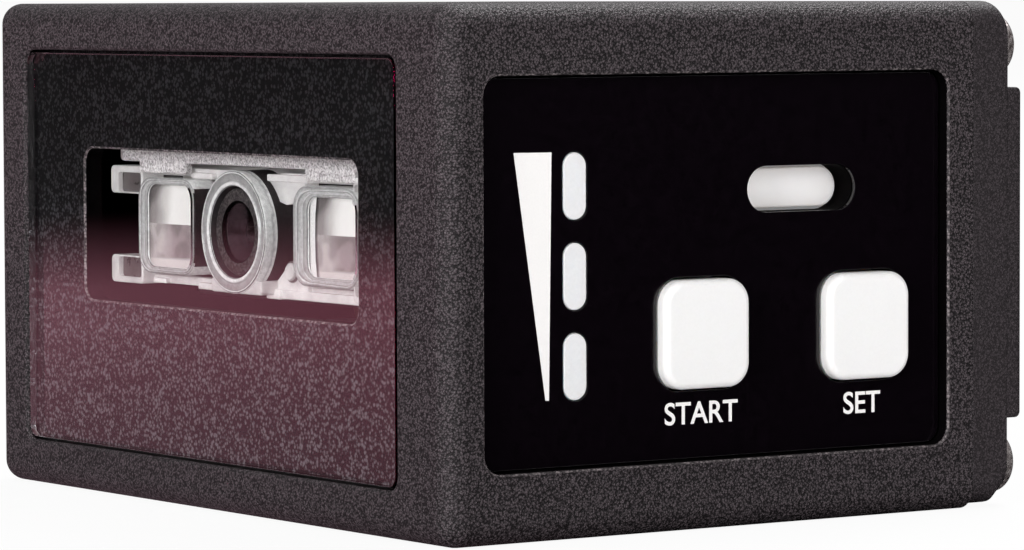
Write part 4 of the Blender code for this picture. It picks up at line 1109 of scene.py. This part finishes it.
# A lens block as rings: a rounded outer edge, a stepped rim of uneven width, then a pillow whose height is
# a parabola from the rim to the middle.
def lensBlock(size, box, inner, back):
    edge, corner, front = size["blockEdge"], size["blockCorner"], size["blockFront"]
    outer, inner, drawnIn = np.array(box), np.array(inner), np.array([1, -1, 1, -1])
    rows = [(*outer, corner, back)]
    rows += [
        (*(outer + x * drawnIn), corner - x * 0.5, front + edge - z)
        for x, z in arc((edge, 0), edge, 180, 90, 6)
    ]
    for share, sunk in size["rimSteps"]:
        rows.append((*(outer + share * (inner - outer)), corner - 0.5 * share, front + sunk))
    reach = min(inner[1] - inner[0], inner[3] - inner[2]) / 2 - 0.1
    for share in np.linspace(0, 1, 12):
        inset = 0.04 + share * (reach - 0.04)
        rise = size["pillow"] * (1 - (1 - share) ** 2)
        rows.append((*(inner + inset * drawnIn), max(0.1, 0.8 - inset), front + 0.1 - rise))
    return ringSolid(rows, cornerSteps=8)


# Writes a UV map that runs once across and once up each block.
def spreadFacets(piece, boxes):
    mesh = piece.data
    corners = np.zeros(len(mesh.loops), np.int32)
    mesh.loops.foreach_get("vertex_index", corners)
    x, y, z = pointsOf(piece)[corners].T
    first = x < engineX
    left = np.where(first, boxes[0][0], boxes[1][0] + moulding["facetBar"])
    right = np.where(first, boxes[0][1], boxes[1][1])
    low, high = boxes[0][2:]
    spread = np.stack([(x - left) / (right - left), (z - low) / (high - low)], axis=1)
    mesh.uv_layers.new(name="facets").data.foreach_set("uv", spread.ravel())


# Four facets that meet in a low peak: depth grows with the distance across and up from the middle.
def facetBlock(left, right, low, high, peak, back):
    x, z = np.meshgrid([left, (left + right) / 2, right], [low, (low + high) / 2, high])
    y = peak + moulding["facetAcross"] * abs(x - x[1, 1]) + moulding["facetUp"] * abs(z - z[1, 1])
    front = np.stack([x, y, z], axis=-1).reshape(-1, 3)
    rear = np.array([(a, back, b) for a, b in ((left, low), (right, low), (right, high), (left, high))])
    faces = [[0, 1, 4, 3], [1, 2, 5, 4], [3, 4, 7, 6], [4, 5, 8, 7], [9, 10, 11, 12]]
    faces += [[0, 1, 2, 10, 9], [2, 5, 8, 11, 10], [8, 7, 6, 12, 11], [6, 3, 0, 9, 12]]
    return np.concatenate([front, rear]), faces


# A flat web from its outline in X and Z, between two depths.
def webPlate(outline, front, back):
    count = len(outline)
    points = [(engineX + x, y, z) for y in (front, back) for x, z in outline]
    step = np.arange(count)
    following = (step + 1) % count
    sides = np.stack([step, following, following + count, step + count], axis=1).tolist()
    return np.array(points), [list(range(count)), list(range(count, 2 * count))] + sides


# A clip ear as rings: its sides, its eased front edge, and a pocket sunk in its front.
def clipEar(size, side, bottom, lowBorder, topBorder, back):
    left, right = sorted(engineX + side * x for x in size["earX"])
    top, front, ease = bottom + size["earHeight"], size["earFront"], 0.1
    rows = [(left, right, bottom, top, 0.3, depth) for depth in (back, front + ease)]
    rows += [
        (left + x, right - x, bottom + x, top - x, 0.3, front + ease - z)
        for x, z in arc((ease, 0), ease, 180, 90, 4)
    ]
    start, end = (size["earBorder"], 0.2)[::-side]
    pocket = (left + start, right - end, bottom + lowBorder, top - topBorder)
    rows += [(*pocket, 0.2, front), (*pocket, 0.18, front + size["earPocket"])]
    return ringSolid(rows, cornerSteps=5)


def makeMoulding(size):
    plateFront, back = size["plateY"]
    low, high = size["plateZ"]
    gapLow, gapHigh = size["gapZ"]
    blockIn, blockOut, blockLow, blockHigh = size["block"]
    blockFront, inset, earHeight = size["blockFront"], size["facetInset"], size["earHeight"]
    footLeft, footRight, footLow, footHigh, footFront = size["collarFoot"]
    solids = [engineBlock(footLeft, footRight, footFront, back, footLow, footHigh, edge=0.1)]
    lenses, facetBoxes = [], []
    for side in (-1, 1):
        left, right = sorted((engineX + side * blockIn, engineX + side * blockOut))
        right += size["rightGrows"] * (side > 0)
        rims, (start, end) = size["rims"][side], size["facetEnds"][side]
        inner = (left + rims[0], right - rims[1], blockLow + rims[2], blockHigh - rims[3])
        lenses.append(((left, right, blockLow, blockHigh), inner))
        facetBoxes.append((left + start, right - end, blockLow + inset, blockHigh - inset))
        # rails below and above the gap, then the pads and the clip ears
        span = (size["railInner"], size["half"], plateFront, back - 0.01)
        for ends in ((low, gapLow), (gapHigh, high)):
            solids.append(engineBlock(*span, *ends, side, corner=0.12, edge=0.06))
        for near, far, *ends, proud in size["pads"][side]:
            depths = (plateFront - proud, back - 0.05)
            solids.append(engineBlock(near, far, *depths, *ends, side, corner=0.1, edge=0.07))
        solids.append(clipEar(size, side, low - 0.1, 0.38, 0.1, back - 0.1))
        solids.append(clipEar(size, side, high - earHeight, 0.1, 0.4, back - 0.1))
    x, z, radius, proud = size["stud"]
    foot, ease, shadeRingRadius = (engineX + x, plateFront - 0.2, z), 0.08, radius + 0.12
    stud = [(0, 0.4), (radius, 0.4), (radius, -proud + ease), (radius - ease, -proud), (0, -proud)]
    solids.append(turnedSolid(stud, foot, (0, 1, 0), 32))
    # a dark disc just wider than the stud, behind it, shows as a painted shadow ring round it
    gap = turnedSolid([(0, 0.3), (shadeRingRadius, 0.3), (shadeRingRadius, -0.15), (0, -0.15)], foot, (0, 1, 0), 32)
    addPiece("mouldingStudShade", [gap], "pocket")
    piece = addPiece("clearMoulding", solids, "milky pocket", "light_cover", sharp=35)
    middles = faceMiddles(piece)
    across = np.abs(middles[:, 0] - engineX)
    pocketDepth = np.abs(middles[:, 1] - size["earFront"] - size["earPocket"])
    # the floors of the ears' pockets, by their depth, take painted shade
    finishFaces(piece, (across > size["earX"][0] + 0.15) & (pocketDepth < 0.01))
    plates = [webPlate(outline, plateFront - 0.25, back - 0.1) for outline in size["webs"]]
    addPiece("mouldingWebs", plates, "milky", smooth=False)
    # the lens blocks: banded rims with painted highlights, clear lenses, and painted shade on the flanks
    # towards the collar
    solids = [lensBlock(size, *lens, back) for lens in lenses]
    piece = addPiece("mouldingLenses", solids, "rim clear blackened")

    def bandOf(points):
        x, y, z = points.T
        bands = []
        for box, inner in lenses:
            out = np.maximum(-boxDistance(x, z, box, size["blockCorner"]), 0)
            inside = np.maximum(boxDistance(x, z, inner, 0.8), 0)
            bands.append(out / (out + inside + 1e-6))
        return np.where(x < engineX, *bands)

    middles = faceMiddles(piece)
    markBand(piece, bandOf(pointsOf(piece)))
    kinds = (bandOf(middles) > 0.995).astype(np.int32)
    flank = (np.abs(middles[:, 0] - engineX) < blockIn + 0.16) & (middles[:, 1] > blockFront + 0.12)
    kinds[flank] = 2
    finishFaces(piece, kinds)
    solids = [facetBlock(*box, size["facetPeak"], back) for box in facetBoxes]
    facets = addPiece("mouldingFacets", solids, "facet", smooth=False)
    spreadFacets(facets, facetBoxes)


# The collar is turned from steps across its face. Its bands run below 0 down the bore, from 0 to 1 across
# the face, and above 1 down the outer side.
def makeCollar(size):
    bore, outer, front = size["collar"]
    back, behind = size["plateY"][1], front + size["collarFace"]
    profile = [(bore, back)] + [(bore + x, front + y) for x, y in size["collarSteps"]]
    profile += [(outer - 0.07, front), (outer, front + 0.08), (outer, behind), (outer, back)]
    solids = [engineTurned(profile, 96, True)]
    piece = addPiece("mouldingCollar", solids, "ring blackened")
    # the collar's side behind its face takes painted shade
    finishFaces(piece, faceMiddles(piece)[:, 1] > behind)
    x, y, z = pointsOf(piece).T
    away, depth = np.hypot(x - engineX, z - engineZ), y - front
    share = (away - bore) / (outer - bore)
    band = np.where(away > outer - 0.01, 1 + 0.2 * depth, share)
    markBand(piece, np.where(away < bore + 0.01, -depth, band))


camera = {"front": -16.82, "back": -11.0, "radius": 2.6, "glass": 1.8, "throat": 1.05, "throatY": -15.75}


# The barrel: a grained face round a clear front glass, a throat that narrows in steps, and the inner glass.
# The front of each glass is a parabola.
def makeCameraLens(size):
    front, back, deep = size["front"], size["back"], size["throatY"]
    radius, glass, throat = size["radius"], size["glass"], size["throat"]
    profile = [(throat, back), (radius, back), (radius, front + 0.1), (radius - 0.1, front)]
    profile += [(glass + 0.06, front), (glass, front + 0.06), (glass, front + 0.2)]
    profile += [(glass - 0.12, front + 0.22), (throat + 0.3, deep - 0.12), (throat + 0.28, deep - 0.04)]
    solids = [engineTurned(profile + [(throat, deep)], 72, True)]
    piece = addPiece("cameraBarrel", solids, "barrel wall", "lens_barrel", sharp=35)
    x, y, z = faceMiddles(piece).T
    # the throat takes the near-black finish of painted shade
    finishFaces(piece, (np.hypot(x - engineX, z - engineZ) < glass + 0.03) & (y < deep + 0.1))

    def domed(reach, start, rise, end, steps):
        dome = [(r, start + rise * (r / reach) ** 2) for r in np.linspace(0, reach, steps)]
        return engineTurned(dome + [(reach, end), (0, end)], 72)

    addPiece("cameraFrontGlass", [domed(glass, front + 0.03, 0.14, front + 0.22, 14)], "glass")
    solids = [domed(throat, deep + 0.1, 0.25, deep + 0.9, 12)]
    addPiece("cameraGlass", solids, "lens", "camera_lens")


makeEngineFrame(engine)
makeMoulding(moulding)
makeCollar(moulding)
makeCameraLens(camera)
print("reading engine made")


insideFinishes = {
    "board_green": plainFinish("boardMask", (0.02, 0.13, 0.065), 0.35, 1.2, 0.004, 0.25, coat=0.3),
    "light_board": plainFinish("whiteMask", (0.8, 0.79, 0.77), 0.4, 2.0, 0.004, 0.05),
    "chip_black": plainFinish("chipMoulding", (0.02, 0.02, 0.022), 0.5, 8.0, 0.006, 0.2),
    "connector_cream": plainFinish("connectorMoulding", (0.72, 0.68, 0.58), 0.5, 4.0, 0.006, 0.05),
    "led_yellow": plainFinish("lampResin", (0.86, 0.83, 0.7), 0.3, 3.0, 0.004, 0.04, soft=0.2),
    "flex_amber": plainFinish("flexFilm", (0.06, 0.025, 0.01), 0.4, 2.0, 0.003, 0.1),
    "coil_grey": plainFinish("ferriteBody", (0.15, 0.15, 0.16), 0.6, 6.0, 0.01, 0.2),
    "black_plastic": finishes["black"],
    "screw_steel": finishes["screw"],
    "lens_glass": finishes["lens"],
}
slotOf = {row["node"]: row["material_slot"] for row in frame["record"]["subparts"]}
for nodeName, node in frame["nodes"].items():
    finish = insideFinishes.get(nodeName) or insideFinishes.get(slotOf[nodeName])
    if finish:
        node.data.materials.clear()
        node.data.materials.append(finish)
print("inner pieces finished")


studio = {
    "floorSize": 60.0,
    "floorSeen": 0.93,
    "paperWhite": 0.88,
    "paperNear": 0.35,
    "paperColour": (0.98, 0.60, 0.74),
    "paperFades": 235.0,
    "paperEnds": 425.0,
    "worldLight": 0.5,
    "room": [(0.0, 0.015), (0.3, 0.04), (0.6, 0.25), (0.9, 1.3)],
    "lamps": [
        # name, place, aim, size, power
        ("frontLamp", (0.3, -0.95, 0.22), (0, 0, 0.015), 0.45, 7.8),
        ("sideLamp", (0.95, -0.05, 0.42), (0, 0, 0.015), 0.5, 2.85),
        ("backLamp", (-0.3, 0.6, 0.9), (0, 0, 0.01), 0.7, 9.0),
    ],
}


# The share of a ray that sees the white ground: 1 for the camera and through glass.
def seenRays(path):
    return larger(path.outputs["Is Camera Ray"], path.outputs["Is Transmission Ray"])


# The floor is matt white, and shows so to the camera while it keeps the shadow. In reflections it is a
# sheet of paper on the window's side, whose white ends softly a third of a metre out.
def makeFloor(size):
    half = size["floorSize"] / 2
    mesh = bpy.data.meshes.new("floor")
    mesh.from_pydata([(-half, -half, 0), (half, -half, 0), (half, half, 0), (-half, half, 0)], [], [range(4)])
    material, shader, place = newFinish("paleFloor", colour=(0.86, 0.86, 0.86), rough=0.9, specular=0.0)
    tree = shader.id_data
    kinds = ("Emission", "MixShader", "LightPath", "VectorMath")
    glow, mix, path, reach = (newNode(tree, kind) for kind in kinds)
    reach.operation = "LENGTH"
    link(place, reach.inputs[0])
    out = over(reach.outputs["Value"], size["paperEnds"])
    split = splitUp(place)
    beside = plus(over(plus(split["X"], split["Y"]), 60.0), 0.5)
    sheet = ramp(out, [(size["paperFades"] / size["paperEnds"], size["paperWhite"]), (1.0, 0.0)])
    sheet = times(mathNode("POWER", sheet, 2.0), ramp(out, [(0.05, size["paperNear"]), (0.42, 1.0)]))
    sheet = times(sheet, ramp(beside, [(0.2, 1.0), (0.8, 0.0)]))
    glossy = path.outputs["Is Glossy Ray"]
    link(ramp(glossy, [(0.0, 1.0), (1.0, size["paperColour"])]), glow.inputs["Color"])
    link(plus(times(sheet, glossy), minus(1.0, glossy)), glow.inputs["Strength"])
    link(larger(times(seenRays(path), size["floorSeen"]), glossy), mix.inputs["Fac"])
    link(shader.outputs["BSDF"], mix.inputs[1])
    link(glow.outputs["Emission"], mix.inputs[2])
    link(mix.outputs["Shader"], tree.nodes["Material Output"].inputs["Surface"])
    mesh.materials.append(material)
    newObject("floor", mesh)


# The room is white to the camera and through glass. In reflections it is dark at the walls and bright
# overhead, as under a large soft box.
def makeWorld(size):
    world = bpy.data.worlds.new("studio")
    bpy.context.scene.world = world
    world.use_nodes = True
    tree = world.node_tree
    back = tree.nodes["Background"]
    back.inputs["Color"].default_value = (1, 1, 1, 1)
    path, place = newNode(tree, "LightPath"), newNode(tree, "TexCoord")
    room = ramp(splitUp(place.outputs["Generated"])["Z"], size["room"])
    glossy, plainLight = path.outputs["Is Glossy Ray"], size["worldLight"]
    plain = plus(times(seenRays(path), 1 - plainLight), plainLight)
    link(plus(times(room, glossy), times(plain, minus(1.0, glossy))), back.inputs["Strength"])


def makeLamps(size):
    for name, place, aim, width, power in size["lamps"]:
        light = bpy.data.lights.new(name, "AREA")
        light.size = width
        light.energy = power
        lamp = newObject(name, light)
        lamp.location = place
        lamp.rotation_euler = (Vector(aim) - Vector(place)).to_track_quat("-Z", "Y").to_euler()


# The camera looks along azimuth and pitch from its place, with the picture turned a little about its axis.
view = {"place": (249.97, -170.37, 30.53), "azimuth": 55.43, "pitch": 3.2526, "roll": -0.2048, "lens": 174.15}


def makeCamera(size):
    azimuth, pitch, roll = (math.radians(size[name]) for name in ("azimuth", "pitch", "roll"))
    level = math.cos(pitch)
    ahead = Vector((-math.sin(azimuth) * level, math.cos(azimuth) * level, -math.sin(pitch)))
    right = ahead.cross(Vector((0, 0, 1))).normalized()
    up = right.cross(ahead)
    cosine, sine = math.cos(roll), math.sin(roll)
    right, up = cosine * right + sine * up, -sine * right + cosine * up
    lens = bpy.data.cameras.new("photoCamera")
    lens.lens = size["lens"]
    lens.sensor_width = 36.0
    lens.clip_start, lens.clip_end = 0.01, 200.0
    holder = newObject("photoCamera", lens)
    turn = Matrix((right, up, -ahead)).transposed().to_4x4()
    holder.matrix_world = Matrix.Translation(Vector(size["place"]) * unit) @ turn
    bpy.context.scene.camera = holder


makeFloor(studio)
makeWorld(studio)
makeLamps(studio)
makeCamera(view)
bpy.context.scene.view_settings.view_transform = "Standard"
print("studio made")

print("scene finished")
